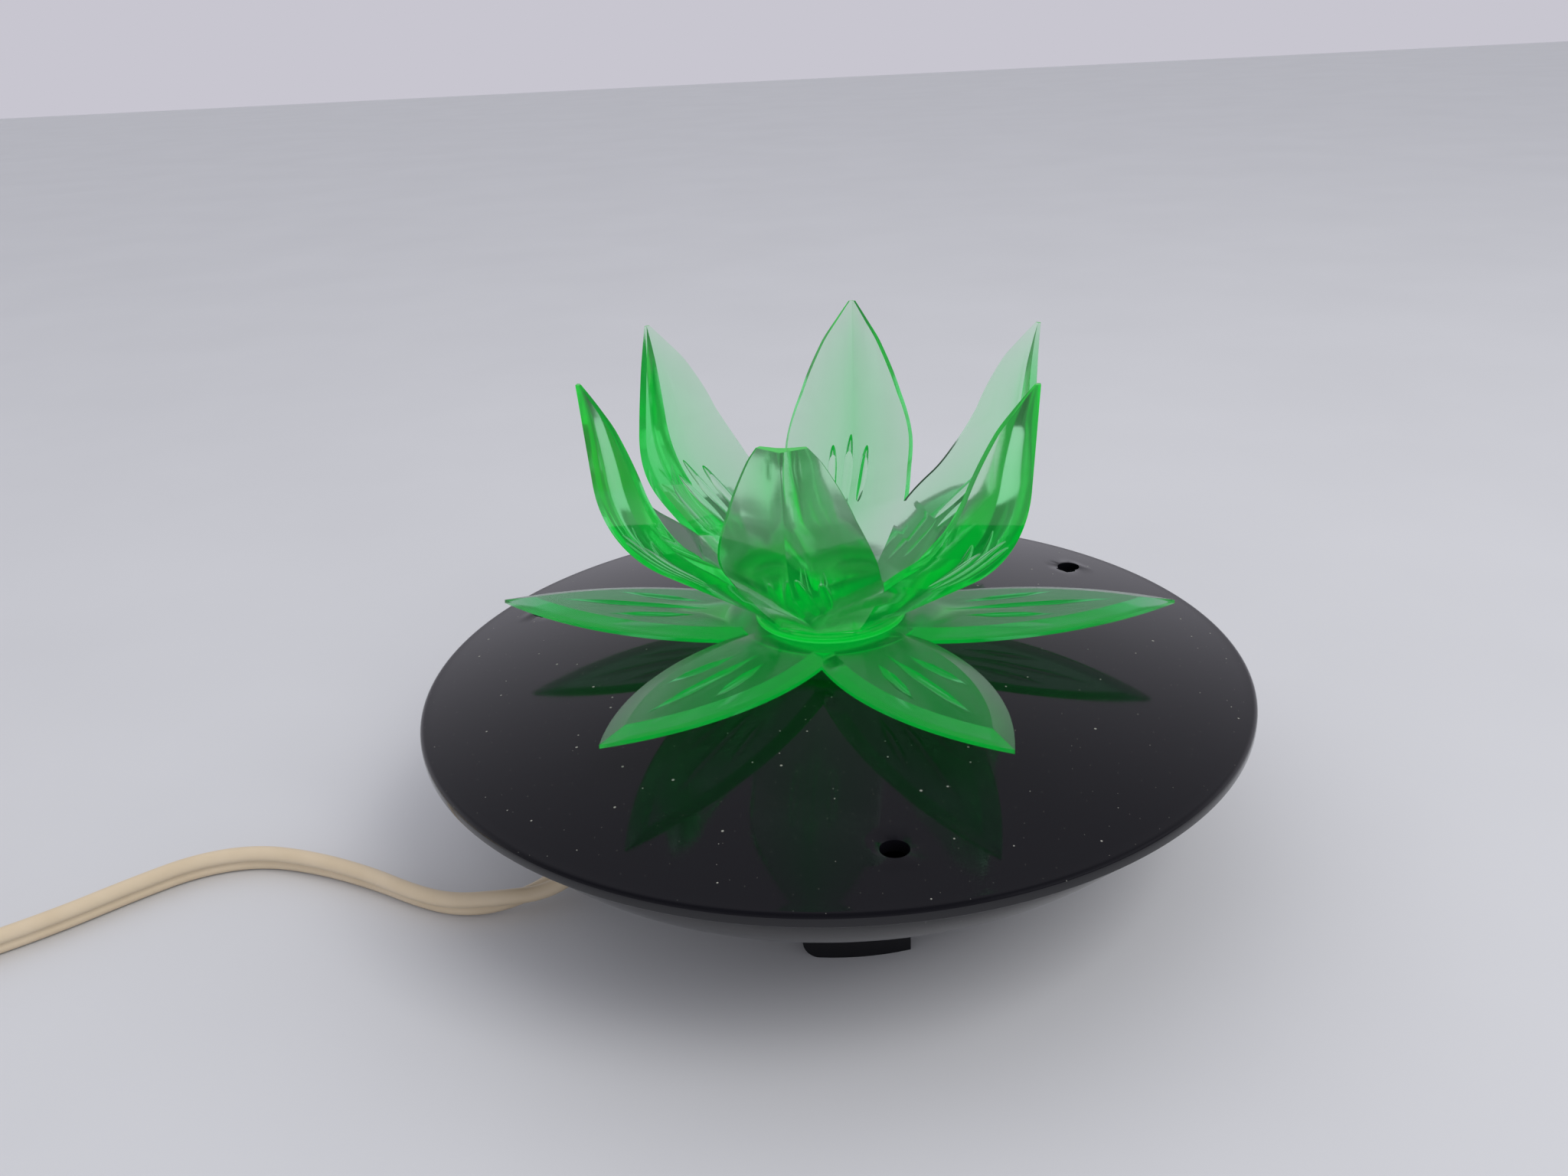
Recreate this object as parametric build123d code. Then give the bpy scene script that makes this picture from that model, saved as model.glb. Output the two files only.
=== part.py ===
"""Lotus night light: a green acrylic flower on a domed black lid, with a small mains bulb in the base.

Millimetres. The origin is at table level under the lid's centre, +Z is up, -Y faces the viewer.
"""
import os
from math import atan, cos, pi, radians, sin, sqrt, tan

from build123d import *

os.makedirs("parts", exist_ok=True)

# Lid: a shallow black dome with a centre hole for the flower and three vents near its rim
lid_radius = 80.0
lid_rim_z = 37.0
lid_dome = 7.4
lid_wall = 2.2
lid_rim_width = 2.4
lid_shoulder = 1.0
vent_radius = 2.4
vent_circle = 67.3
vent_angle = -82.8
lid_rib_height = 2.4
lid_rib_wall = 1.6
lid_rib_gap = 0.5

# Bowl: half an ellipse in section, flat where it faces the table, on three leg segments
lid_overhang = 4.4
bowl_ellipse = 28.8
bowl_wall = 2.2
bowl_floor_z = 9.0
leg_radius = 43.2
leg_wall = 3.2
leg_span = 26.0
leg_angle = -86.5
leg_corner = 3.0
seat_gap = 0.1

# Lid screws, from below through posts of the bowl into bosses of the lid
post_circle = 58.0
post_angle = -22.8
post_radius = 4.6
boss_radius = 4.0
boss_drop = 6.3
screw_radius = 1.45
screw_head_radius = 2.8
screw_head_height = 2.0
lid_screw_length = 14.0
recess_top_z = 22.0
screw_clear = 0.25
thread_clear = 0.05

# Flower, both mouldings
petal_count = 6
flower_bore = 7.0
spigot_radius = 9.4
spigot_below_lid = 2.4
fit_gap = 0.1

# Lower petals: each is where two bevelled discs overlap
lower_angle = -5.1
lower_plate_z = 48.7
lower_plate_thick = 1.8
lower_disc_radius = 65.5
lower_petal_half_width = 11.6
lower_petal_middle = 28.0
lower_bevel_width = 3.3
lower_bevel_depth = 1.1
lower_rise = 4.2
lower_pivot_radius = 15.0
lower_hub_radius = 12.0
lower_web_radius = 18.0
lower_groove_radius = 1.0
lower_groove_middle = 38.5
lower_groove_length = 31.0
side_groove_middle = 34.4
side_groove_length = 17.0
side_groove_across = 4.2
side_groove_turn = 7.0

# Upper petals: lofted along a keel that runs out, then bends up
upper_angle = -8.9
keel_start_r = 14.0
keel_start_z = 50.5
keel_slope = 33.0
keel_straight = 22.0
keel_bend = 25.0
keel_top_slope = 86.5
keel_top = 18.2
upper_edge_wall = 1.5
upper_floor_share = 0.35
front_petal_top_z = 95.5
upper_groove_radius = 1.0
upper_groove_length = 21.0
upper_groove_shorter = 6.0
upper_groove_across = 3.2
upper_groove_spread = 4.0
collar_foot_radius = 14.6
collar_neck_radius = 12.8
collar_lip_radius = 13.8
collar_foot_height = 1.2
collar_neck_height = 0.5
collar_lip_height = 1.4

# Push-on ring that holds the flower under the lid
ring_radius = 14.0
ring_thick = 2.0
ring_slots = 6
ring_slot_radius = 1.0

# Lampholder and bulb, lying along +X, with the bulb's glass under the flower
lamp_z = 26.0
holder_front = 9.0
holder_back = 43.0
holder_radius = 11.0
holder_bore = 7.9
holder_bore_depth = 20.0
shell_wall = 0.6
shell_length = 15.0
cap_radius = 6.95
cap_wall = 0.4
cap_front = 8.6
cap_length = 15.4
glass_radius = 10.8
glass_wall = 0.7
glass_tip = -26.0
glass_neck = 6.3
stem_front = 1.0
contact_radius = 2.4
tongue_thick = 0.5
tongue_drop = 6.0
tongue_foot = 1.5
filament_depth = 12.0
filament_spread = 5.0
lead_radius = 0.35
filament_radius = 0.45

terminal_y = 5.0
terminal_z = 6.4
terminal_screw_y = 3.4
terminal_screw_bore = 0.95
terminal_screw_depth = 6.5
wire_depth = 6.0

# Saddles, strap and its screws
saddle_thick = 2.4
saddle_near = 15.0
saddle_far = 35.0
strap_x = 25.0
strap_width = 8.0
strap_thick = 1.0
strap_post_y = 15.6
strap_post_radius = 3.4
strap_screw_length = 9.0

# Mains cord: flat twin flex, its solids are round tubes as wide as the flex
cord_width = 6.0
exit_angle = -156.0
exit_r = 46.0
exit_slope = 30.0
exit_boss_radius = 5.8
exit_boss_inner = 8.0
exit_boss_outer = 5.2
grommet_neck = 4.2
grommet_flange = 5.0
grommet_flange_thick = 1.4
grommet_shoulder = 5.2
grommet_shoulder_thick = 1.5
grommet_tail = 6.0
grommet_tail_radius = 3.8
inner_bend = 12.5
inner_end_r = 25.5
clamp_r = 29.5
clamp_thick = 2.2
clamp_width = 5.6
clamp_post_gap = 8.4
clamp_post_radius = 2.9
clamp_screw_length = 8.0
core_radius = 1.1
core_offset = 1.5

# Switch on the cord
switch_x = -221.0
switch_y = -48.0
switch_length = 62.0
switch_width = 24.0
switch_seam_z = 7.0
switch_height = 16.5
switch_wall = 2.0
switch_corner = 7.0
switch_top_fillet = 2.5
switch_gland = 7.0
switch_screw_x = 22.0
switch_screw_y = 6.5
switch_post_radius = 4.2
rocker_radius = 8.0
rocker_width = 9.0
rocker_tilt = 7.0
rocker_proud = 2.4
rocker_below = 2.6
rocker_gap = 0.5
pivot_z = 13.0
pivot_radius = 1.4
pivot_clear = 0.06
pivot_length = 1.6
bridge_thick = 0.8
bridge_length = 11.0
contact_gap = 0.3
terminal_x = 15.0
terminal_block = 5.0
switch_screw_length = 8.0

# Put-away coil, laid clockwise from its left side, in two layers
coil_x = -262.0
coil_y = 12.0
coil_outer = 42.0
coil_pitch = 6.6
coil_turns_each = 2.75
coil_arcs_per_turn = 4

# Plug with two round pins
plug_x = -304.5
plug_y = 70.0
plug_thick = 13.7
plug_face_width = 35.3
plug_length = 33.0
plug_neck_width = 11.0
plug_corner = 4.5
relief_length = 16.0
relief_radius = 5.0
relief_end_radius = 3.9
relief_grooves = 4
plug_entry = 3.0
pin_radius = 2.0
pin_length = 19.0
pin_spacing = 18.6
pin_seat = 8.0
pin_root_radius = 1.7
pin_root_proud = 0.3

# Worked out from the values above
bowl_radius = lid_radius - lid_overhang
lower_disc_offset = lower_disc_radius - lower_petal_half_width
lid_apex_z = lid_rim_z + lid_dome
dome_radius = (lid_radius**2 + lid_dome**2) / (2 * lid_dome)
dome_centre_z = lid_apex_z - dome_radius


def dome_z(r, depth=0.0):
    """Height of the lid's dome at a radius, or of the surface a depth below it."""
    return dome_centre_z + sqrt((dome_radius - depth) ** 2 - r**2)


bowl_top_z = dome_z(bowl_radius, lid_wall) - seat_gap
bowl_height = bowl_top_z - bowl_floor_z
boss_low_z = dome_z(post_circle, lid_wall) - boss_drop
screw_tip_z = recess_top_z + lid_screw_length
strap_low_z = lamp_z - strap_thick
cord_r = cord_width / 2
exit_z = bowl_top_z - bowl_ellipse * sqrt(1 - (exit_r / bowl_radius) ** 2)
mouth = exit_boss_outer + grommet_shoulder_thick + grommet_tail
inner_z = exit_z + inner_bend * sin(radians(exit_slope))


def exit_place(t):
    """The place on the cord's axis at a distance outside the bowl's surface, with Z along the cord."""
    lean = Rot(0, 90 + exit_slope, 0)
    return Rot(0, 0, exit_angle) * Pos(exit_r, 0, exit_z) * lean * Pos(0, 0, t)


def inside_exit(r, across=0.0, z=None):
    """A place inside the bowl in line with the cord's exit, with X pointing outwards."""
    return Rot(0, 0, exit_angle) * Pos(r, across, inner_z if z is None else z)


def at_angle(angle, count=1, step=120.0):
    """Turns about +Z, for what is repeated round the axis."""
    return [Rot(0, 0, angle + step * i) for i in range(count)]


def upright(radius, low, high):
    """A vertical cylinder on the Z axis between two heights."""
    return Pos(0, 0, (low + high) / 2) * Cylinder(radius, high - low)


def turned(points):
    """A solid of revolution about +Z from (radius, height) corners."""
    return revolve(make_face(Plane.XZ * Polyline(*points, close=True)), Axis.Z)


def lying(points):
    """A solid of revolution about the lamp's axis from (x, radius) corners."""
    return Pos(0, 0, lamp_z) * revolve(make_face(Polyline(*points, close=True)), Axis.X)


def spindle(length, radius):
    """A pointed spindle along X, which cuts a lens-shaped groove."""
    half, shoulder = length / 2, length / 6
    outline = Polyline((-half, 0), (-shoulder, radius), (shoulder, radius), (half, 0), close=True)
    return revolve(make_face(outline), Axis.X)


def pan_screw(length, radius=screw_radius, head=screw_head_radius, height=screw_head_height):
    """A screw with its head's underside at the origin and its shank along -Z."""
    shank = upright(radius, -length, 0)
    top = fillet(upright(head, 0, height).edges().sort_by(Axis.Z)[-1], height * 0.45)
    slot = Pos(0, 0, height) * Box(head * 1.5, head * 0.25, height * 0.6)
    return shank + top - slot


def bowl_region(radius, ellipse, height):
    """Half the bowl's section, filled: an ellipse's quarter cut flat at its foot."""
    window = Pos(radius / 2, -height / 2) * Rectangle(radius, height)
    return Plane.XZ * Pos(0, bowl_top_z) * (Ellipse(radius, ellipse) & window)


bowl_outside = revolve(bowl_region(bowl_radius, bowl_ellipse, bowl_height), Axis.Z)
bowl_hollow = revolve(
    bowl_region(bowl_radius - bowl_wall, bowl_ellipse - bowl_wall, bowl_height - bowl_wall), Axis.Z
)


def make_lid():
    """The black lid, with its vents, centre hole, screw bosses and locating rib."""
    outer = lid_radius - lid_shoulder
    top = ThreePointArc((0, lid_apex_z), (outer / 2, dome_z(outer / 2)), (outer, dome_z(outer)))
    shoulder_end = (lid_radius, dome_z(outer) - lid_shoulder)
    shoulder = TangentArc((outer, dome_z(outer)), shoulder_end, tangent=top % 1)
    rim_low = lid_rim_z - lid_wall
    inner = lid_radius - lid_rim_width
    side = Polyline(shoulder_end, (lid_radius, rim_low), (inner, rim_low), (inner, dome_z(inner, lid_wall)))
    under = ThreePointArc(
        (inner, dome_z(inner, lid_wall)),
        (inner / 2, dome_z(inner / 2, lid_wall)),
        (0, lid_apex_z - lid_wall),
    )
    axis_line = Line((0, lid_apex_z - lid_wall), (0, lid_apex_z))
    lid = revolve(make_face(Plane.XZ * (top + shoulder + side + under + axis_line)), Axis.Z)

    rib_outer = bowl_radius - bowl_wall - lid_rib_gap
    rib_top = dome_z(rib_outer, lid_wall / 2)
    rib_low = bowl_top_z - lid_rib_height
    lid += upright(rib_outer, rib_low, rib_top) - upright(rib_outer - lid_rib_wall, rib_low, rib_top)
    for turn in at_angle(post_angle, 3):
        boss_top = dome_z(post_circle + boss_radius, lid_wall / 2)
        lid += turn * Pos(post_circle) * upright(boss_radius, boss_low_z, boss_top)
        bore = upright(screw_radius + thread_clear, boss_low_z, screw_tip_z + 0.5)
        lid -= turn * Pos(post_circle) * bore
    for turn in at_angle(vent_angle, 3):
        lid -= turn * Pos(vent_circle) * upright(vent_radius, rim_low, lid_apex_z)
    lid -= upright(spigot_radius + fit_gap, rim_low, lid_apex_z + 1)
    return lid


def make_leg():
    """One leg: a segment of a ring with a rounded lower corner."""
    section = Plane.XZ * Pos(leg_radius - leg_wall / 2, bowl_floor_z) * Rectangle(leg_wall, 2 * bowl_floor_z)
    leg = Rot(0, 0, -leg_span / 2) * revolve(section, Axis.Z, revolution_arc=leg_span)
    corner = Rot(0, 0, -leg_span / 2) * Pos(leg_radius - leg_wall / 2, 0, 0)
    return fillet(leg.edges().sort_by_distance(corner.position)[0], leg_corner)


def make_saddles():
    """Two ribs across the bowl's floor, hollowed to take the lampholder."""
    width = 2 * (holder_radius + saddle_thick)
    height = lamp_z - bowl_floor_z
    middle_z = bowl_floor_z + height / 2
    saddles = [Pos(x, 0, middle_z) * Box(saddle_thick, width, height) for x in (saddle_near, saddle_far)]
    seat = Pos(0, 0, lamp_z) * Rot(0, 90, 0) * Cylinder(holder_radius + fit_gap, 4 * holder_back)
    return [(saddle & bowl_outside) - seat for saddle in saddles]


def make_bowl():
    """The bowl, its legs, screw posts, saddles, strap posts, clamp posts and cord boss."""
    bowl = bowl_outside - bowl_hollow
    for turn in at_angle(leg_angle, 3):
        bowl += turn * make_leg() - bowl_hollow
    for turn in at_angle(post_angle, 3):
        post = turn * Pos(post_circle) * upright(post_radius, bowl_floor_z, boss_low_z - seat_gap)
        bowl += post & bowl_outside
    bowl += make_saddles()

    floor_middle = bowl_floor_z + bowl_wall / 2
    for y in (-strap_post_y, strap_post_y):
        bowl += Pos(strap_x, y) * upright(strap_post_radius, floor_middle, strap_low_z)
        hole_low = strap_low_z + strap_thick - strap_screw_length - 0.5
        bowl -= Pos(strap_x, y) * upright(screw_radius + thread_clear, hole_low, strap_low_z)
    for y in (-clamp_post_gap, clamp_post_gap):
        bowl += inside_exit(clamp_r, y, 0) * upright(clamp_post_radius, floor_middle, inner_z)
        hole_low = inner_z + clamp_thick - clamp_screw_length - 0.5
        bowl -= inside_exit(clamp_r, y, 0) * upright(screw_radius + thread_clear, hole_low, inner_z)

    bowl += exit_place(0) * upright(exit_boss_radius, -exit_boss_inner, exit_boss_outer)
    bowl -= exit_place(0) * upright(grommet_neck + fit_gap, -2 * exit_boss_inner, 2 * exit_boss_outer)
    for turn in at_angle(post_angle, 3):
        bowl -= turn * Pos(post_circle) * upright(screw_head_radius + screw_clear, 0, recess_top_z)
        bowl -= turn * Pos(post_circle) * upright(screw_radius + screw_clear, 0, lid_rim_z)
    return bowl


def make_lid_screws():
    """Three screws whose heads sit in the recesses under the bowl."""
    screw = Pos(post_circle, 0, recess_top_z) * Rot(180, 0, 0) * pan_screw(lid_screw_length)
    return [turn * screw for turn in at_angle(post_angle, 3)]


def make_lower_petals():
    """Six flat leaf-shaped petals on one hub, each with a bevelled border and three grooves."""
    thick = lower_plate_thick
    coin = turned(
        [
            (0, -thick),
            (lower_disc_radius, -thick),
            (lower_disc_radius, -lower_bevel_depth),
            (lower_disc_radius - lower_bevel_width, 0),
            (0, 0),
        ]
    )
    leaf = (Pos(lower_petal_middle, lower_disc_offset) * coin) & (
        Pos(lower_petal_middle, -lower_disc_offset) * coin
    )
    leaf = leaf & Pos(lower_disc_radius, 0, 0) * Box(2 * lower_disc_radius, lower_disc_radius, 4 * thick)
    leaf -= Pos(lower_groove_middle, 0, 0) * spindle(lower_groove_length, lower_groove_radius)
    for side in (-1, 1):
        place = Pos(side_groove_middle, side * side_groove_across, 0) * Rot(0, 0, side * side_groove_turn)
        leaf -= place * spindle(side_groove_length, lower_groove_radius)
    pivot = Pos(lower_pivot_radius, 0, lower_plate_z)
    leaf = pivot * Rot(0, -lower_rise, 0) * Pos(-lower_pivot_radius, 0, 0) * leaf
    flower = upright(lower_web_radius, lower_plate_z - thick, lower_plate_z)
    flower += upright(lower_hub_radius, lid_apex_z, lower_plate_z)
    flower += upright(spigot_radius, lid_apex_z - lid_wall - spigot_below_lid, lower_plate_z)
    for turn in at_angle(lower_angle, petal_count, 360 / petal_count):
        flower += turn * leaf
    return flower - upright(flower_bore, 0, lower_plate_z + thick)


keel_bend_length = keel_bend * radians(keel_top_slope - keel_slope)
keel_length = keel_straight + keel_bend_length + keel_top
cup_foot_z = lower_plate_z + fit_gap
cup_lip_z = cup_foot_z + collar_foot_height + collar_neck_height + collar_lip_height


def keel_plane(s):
    """The plane across a petal at a distance along its keel: X across, Y towards the cup's inside."""
    run = min(s, keel_straight)
    bend = min(max(s - keel_straight, 0.0), keel_bend_length) / keel_bend
    rest = max(s - keel_straight - keel_bend_length, 0.0)
    start, slope = radians(keel_slope), radians(keel_slope) + bend
    r = keel_start_r + run * cos(start) + keel_bend * (sin(slope) - sin(start)) + rest * cos(slope)
    z = keel_start_z + run * sin(start) + keel_bend * (cos(start) - cos(slope)) + rest * sin(slope)
    return Plane(origin=(r, 0, z), x_dir=(0, 1, 0), z_dir=(cos(slope), 0, sin(slope)))


# Upper petal, from root to tip: distance along the keel, half width, depth of the cup, edge wall.
# Its three grooves lie at the belly.
upper_belly = (22.0, 13.4, 6.8, upper_edge_wall)
upper_stations = [
    (-1.5, 8.0, 0.6, upper_edge_wall),
    (5.9, 10.9, 3.0, upper_edge_wall),
    (10.2, 12.3, 4.6, upper_edge_wall),
    (14.6, 13.2, 6.0, upper_edge_wall),
    upper_belly,
    (33.7, 13.2, 6.8, upper_edge_wall),
    (45.4, 10.6, 5.8, 1.4),
    (55.4, 6.3, 3.7, 1.2),
    (60.2, 3.1, 1.9, 0.9),
    (keel_length, 0.7, 0.5, 0.5),
]


def petal_section(s, half, deep, wall):
    """A keeled section: two outer facets, two edges, two inner facets and a flat floor."""
    lean = atan(deep / half)
    edge = (half - wall * sin(lean), deep + wall * cos(lean))
    floor = (upper_floor_share * half, petal_floor(half, deep, wall))
    right = [(half, deep), edge, floor]
    left = [(-x, y) for x, y in reversed(right)]
    return keel_plane(s) * make_face(Polyline((0, 0), *right, *left, close=True))


def petal_floor(half, deep, wall):
    """Height of a section's flat floor over its keel."""
    lean = atan(deep / half)
    return deep + wall * cos(lean) - (half - wall * sin(lean) - upper_floor_share * half) * tan(lean)


def make_upper_petal():
    """One upper petal, cut to its sixth of a turn above the collar's neck, with three grooves."""
    petal = loft([petal_section(*row) for row in upper_stations])
    sector = extrude(make_face(Polyline((0, 0), *upper_sixth, close=True)), 2 * lid_radius)
    petal &= Pos(0, 0, cup_lip_z - collar_lip_height + fit_gap) * sector
    s, half, deep, wall = upper_belly
    for side in (-1, 0, 1):
        place = keel_plane(s).location * Pos(side * upper_groove_across, petal_floor(half, deep, wall), 0)
        length = upper_groove_length if side == 0 else upper_groove_length - upper_groove_shorter
        cutter = Rot(0, 0, side * upper_groove_spread) * spindle(length, upper_groove_radius)
        petal -= place * Rot(0, 90, 0) * cutter
    return petal


sixth = pi / petal_count
upper_sixth = [(lid_radius, -lid_radius * tan(sixth)), (lid_radius, lid_radius * tan(sixth))]


def make_upper_petals():
    """The cup of six upper petals on its collar. The front petal's tip is cut off flat."""
    neck_z = cup_foot_z + collar_foot_height
    lip_z = neck_z + collar_neck_height
    collar = turned(
        [
            (0, lid_apex_z),
            (flower_bore - fit_gap, lid_apex_z),
            (flower_bore - fit_gap, cup_foot_z),
            (collar_foot_radius, cup_foot_z),
            (collar_foot_radius, neck_z),
            (collar_neck_radius, neck_z),
            (collar_neck_radius, lip_z),
            (collar_lip_radius, lip_z),
            (collar_lip_radius, cup_lip_z),
            (0, cup_lip_z),
        ]
    )
    petal = make_upper_petal()
    front, *others = at_angle(upper_angle - 90, petal_count, 360 / petal_count)
    ring = front * petal
    for turn in others:
        ring += turn * petal
    above = Box(lid_radius, lid_radius / 4, 2 * lid_radius)
    above = Pos(lid_radius / 2, 0, front_petal_top_z + lid_radius) * above
    return collar + ring - front * above


def make_flower_ring():
    """The push-on ring on the flower's spigot, against the lid's underside."""
    top = dome_z(ring_radius, lid_wall) - seat_gap
    ring = upright(ring_radius, top - ring_thick, top)
    for turn in at_angle(0, ring_slots, 360 / ring_slots):
        ring -= turn * Pos(spigot_radius) * upright(ring_slot_radius, top - ring_thick, top)
    return ring - upright(spigot_radius + thread_clear, top - ring_thick, top)


def make_holder():
    """The lampholder's moulded body, open at the front, with two wire holes at the back."""
    body = lying(
        [
            (holder_front, holder_bore),
            (holder_front, holder_radius - 0.8),
            (holder_front + 0.8, holder_radius),
            (holder_back - 1.5, holder_radius),
            (holder_back, holder_radius - 1.5),
            (holder_back, 0),
            (holder_front + holder_bore_depth, 0),
            (holder_front + holder_bore_depth, holder_bore),
        ]
    )
    for y in (-terminal_y, terminal_y):
        hole = Rot(0, 90, 0) * Cylinder(core_radius + fit_gap, 2 * wire_depth)
        body -= Pos(holder_back, y, lamp_z) * hole
    for y in (-terminal_screw_y, terminal_screw_y):
        hole = Rot(0, 90, 0) * Cylinder(terminal_screw_bore, terminal_screw_depth)
        body -= Pos(holder_back, y, lamp_z + terminal_z) * hole
    return body


def make_shell():
    """The holder's screw shell, ribbed like its thread."""
    front = holder_front + 3.0
    outer = holder_bore - fit_gap
    inner = outer - shell_wall
    points = [(front, inner), (front, outer)]
    points += [(front + shell_length, outer), (front + shell_length, inner)]
    return lying(points)


def make_centre_contact():
    """A springy tongue that meets the bulb's centre contact."""
    back = holder_front + holder_bore_depth
    meet = cap_front + cap_length + 3.4
    low, high = -tongue_drop, -tongue_drop + tongue_foot
    strip = [(meet, 0), (meet + tongue_thick, 0), (back - tongue_thick, high), (back, high), (back, low)]
    face = make_face(Polyline(*strip, (back - 2 * tongue_thick, low), close=True))
    return Pos(0, 0, lamp_z) * Rot(90, 0, 0) * extrude(face, contact_radius, both=True)


def make_bulb_glass():
    """A small tubular bulb: dome, straight side, shoulder and neck."""

    def outline(inset):
        r = glass_radius - inset
        dome_end = glass_tip + glass_radius
        dome = ThreePointArc(
            (glass_tip + inset, 0),
            (dome_end - r * cos(pi / 4), r * sin(pi / 4)),
            (dome_end, r),
        )
        neck_start = cap_front - 1.0
        side = Line((dome_end, r), (0, r))
        shoulder = Spline((0, r), (neck_start, glass_neck - inset), tangents=((1, 0), (1, 0)))
        neck = Polyline((neck_start, glass_neck - inset), (cap_front + 2.5, glass_neck - inset))
        end = Polyline((cap_front + 2.5, glass_neck - inset), (cap_front + 2.5, 0), (glass_tip + inset, 0))
        return revolve(make_face(dome + side + shoulder + neck + end), Axis.X)

    return Pos(0, 0, lamp_z) * (outline(0) - outline(glass_wall))


def make_bulb_cap():
    """The bulb's screw cap, a thin shell with a rounded back."""
    end = cap_front + cap_length
    return lying(
        [
            (cap_front, glass_neck + fit_gap),
            (cap_front, cap_radius),
            (end, cap_radius),
            (end + 1.2, cap_radius - 2.2),
            (end + 1.2, cap_radius - 2.7),
            (end - cap_wall, cap_radius - cap_wall),
            (cap_front + 1.0, cap_radius - cap_wall),
            (cap_front + 1.0, glass_neck + fit_gap),
        ]
    )


def make_bulb_contact():
    """The black glass insulator and the contact at the bulb's foot, as one piece."""
    end = cap_front + cap_length + 1.25
    front, tip = end - 0.8, end + 1.8
    wide, narrow = 4.0, contact_radius - 0.6
    cone = [(end, wide), (end + 1.0, contact_radius), (tip, narrow), (tip, 0)]
    return lying([(front, 0), (front, wide), *cone])


def make_filament():
    """The glass stem's two leads with the filament between them."""
    front = glass_tip + filament_depth
    back = stem_front - 0.2
    parts = None
    for side in (-1, 1):
        path = Polyline((back, side * 1.6, lamp_z), (front, side * filament_spread, lamp_z))
        lead = sweep(Plane(path @ 0, z_dir=path % 0) * Circle(lead_radius), path)
        parts = lead if parts is None else parts + lead
    wire_length = 2 * (filament_spread + 0.2)
    wire = Pos(front, 0, lamp_z) * Rot(90, 0, 0) * Cylinder(filament_radius, wire_length)
    return parts + wire


def make_stem():
    """The glass stem that carries the leads, flared where it meets the neck."""
    flare = glass_neck - glass_wall - fit_gap
    end = cap_front + 2.4
    return lying([(stem_front, 0), (stem_front, 2.4), (6.0, 2.6), (end - 0.4, flare), (end, flare), (end, 0)])


def make_strap():
    """A steel strap over the lampholder with an ear on each side."""
    ring = Cylinder(holder_radius + fit_gap + strap_thick, strap_width)
    ring -= Cylinder(holder_radius + fit_gap, strap_width)
    strap = Pos(strap_x, 0, lamp_z) * Rot(0, 90, 0) * ring
    strap -= Pos(strap_x, 0, strap_low_z - lamp_z) * Box(4 * lamp_z, 4 * lamp_z, 2 * lamp_z)
    ear = strap_post_y + strap_post_radius - holder_radius - fit_gap
    for side in (-1, 1):
        y = side * (holder_radius + fit_gap + ear / 2)
        strap += Pos(strap_x, y, strap_low_z + strap_thick / 2) * Box(strap_width, ear, strap_thick)
        strap -= Pos(strap_x, side * strap_post_y) * upright(screw_radius + screw_clear, 0, lamp_z + 1)
    return strap


def make_strap_screws():
    """Two screws through the strap's ears."""
    screw = pan_screw(strap_screw_length)
    return [Pos(strap_x, y, strap_low_z + strap_thick) * screw for y in (-strap_post_y, strap_post_y)]


def make_grommet():
    """The bush in the cord's boss: an inner flange, a neck, a shoulder and a tapered tail."""
    bore = cord_r + thread_clear
    shoulder = exit_boss_outer + seat_gap / 2
    flange = -exit_boss_inner - seat_gap / 2
    bush = turned(
        [
            (bore, flange - grommet_flange_thick),
            (grommet_flange, flange - grommet_flange_thick),
            (grommet_flange, flange),
            (grommet_neck, flange),
            (grommet_neck, shoulder),
            (grommet_shoulder, shoulder),
            (grommet_shoulder, shoulder + grommet_shoulder_thick),
            (grommet_neck, shoulder + grommet_shoulder_thick),
            (grommet_tail_radius, mouth),
            (bore, mouth),
        ]
    )
    return exit_place(0) * bush


def make_cord_inside():
    """The flex from the grommet's mouth to where its two cores part."""
    bend = exit_place(-inner_bend).position
    end = inside_exit(inner_end_r).position
    return tube_along([exit_place(mouth).position, bend, end], cord_r, spread=0.3)


def make_clamp():
    """The cord clamp's bar, arched over the flex."""
    length = 2 * (clamp_post_gap + clamp_post_radius)
    arch_radius = cord_r + fit_gap + clamp_thick
    bar = Pos(0, 0, clamp_thick / 2) * Box(clamp_width, length, clamp_thick)
    bar += Rot(0, 90, 0) * Cylinder(arch_radius, clamp_width)
    bar &= Pos(0, 0, length / 2) * Box(2 * clamp_width, 2 * length, length)
    bar -= Rot(0, 90, 0) * Cylinder(cord_r + fit_gap, 2 * clamp_width)
    for y in (-clamp_post_gap, clamp_post_gap):
        bar -= Pos(0, y) * upright(screw_radius + screw_clear, 0, clamp_thick)
    return inside_exit(clamp_r) * bar


def make_clamp_screws():
    """Two screws through the clamp's bar."""
    top = inner_z + clamp_thick
    screw = pan_screw(clamp_screw_length)
    return [inside_exit(clamp_r, y, top) * screw for y in (-clamp_post_gap, clamp_post_gap)]


def tube_along(points, radius, spread=0.45, report=None):
    """A round tube on straight runs joined by arcs that take a share of the shorter run."""
    corners = [Vector(*p) for p in points]
    radii = []
    for a, b, c in zip(corners, corners[1:], corners[2:]):
        turn = radians((b - a).get_angle(c - b))
        radii.append(spread * min((b - a).length, (c - b).length) / tan(turn / 2))
    path = FilletPolyline(*[tuple(p) for p in corners], radius=radii)
    tube = sweep(Plane(path @ 0, z_dir=path % 0) * Circle(radius), path)
    if report:
        share = tube.volume / (pi * radius**2 * path.length)
        print(report, "length %.1f, volume share %.4f" % (path.length, share))
        print(report, "radii", [round(r) for r in radii])
    return tube


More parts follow.
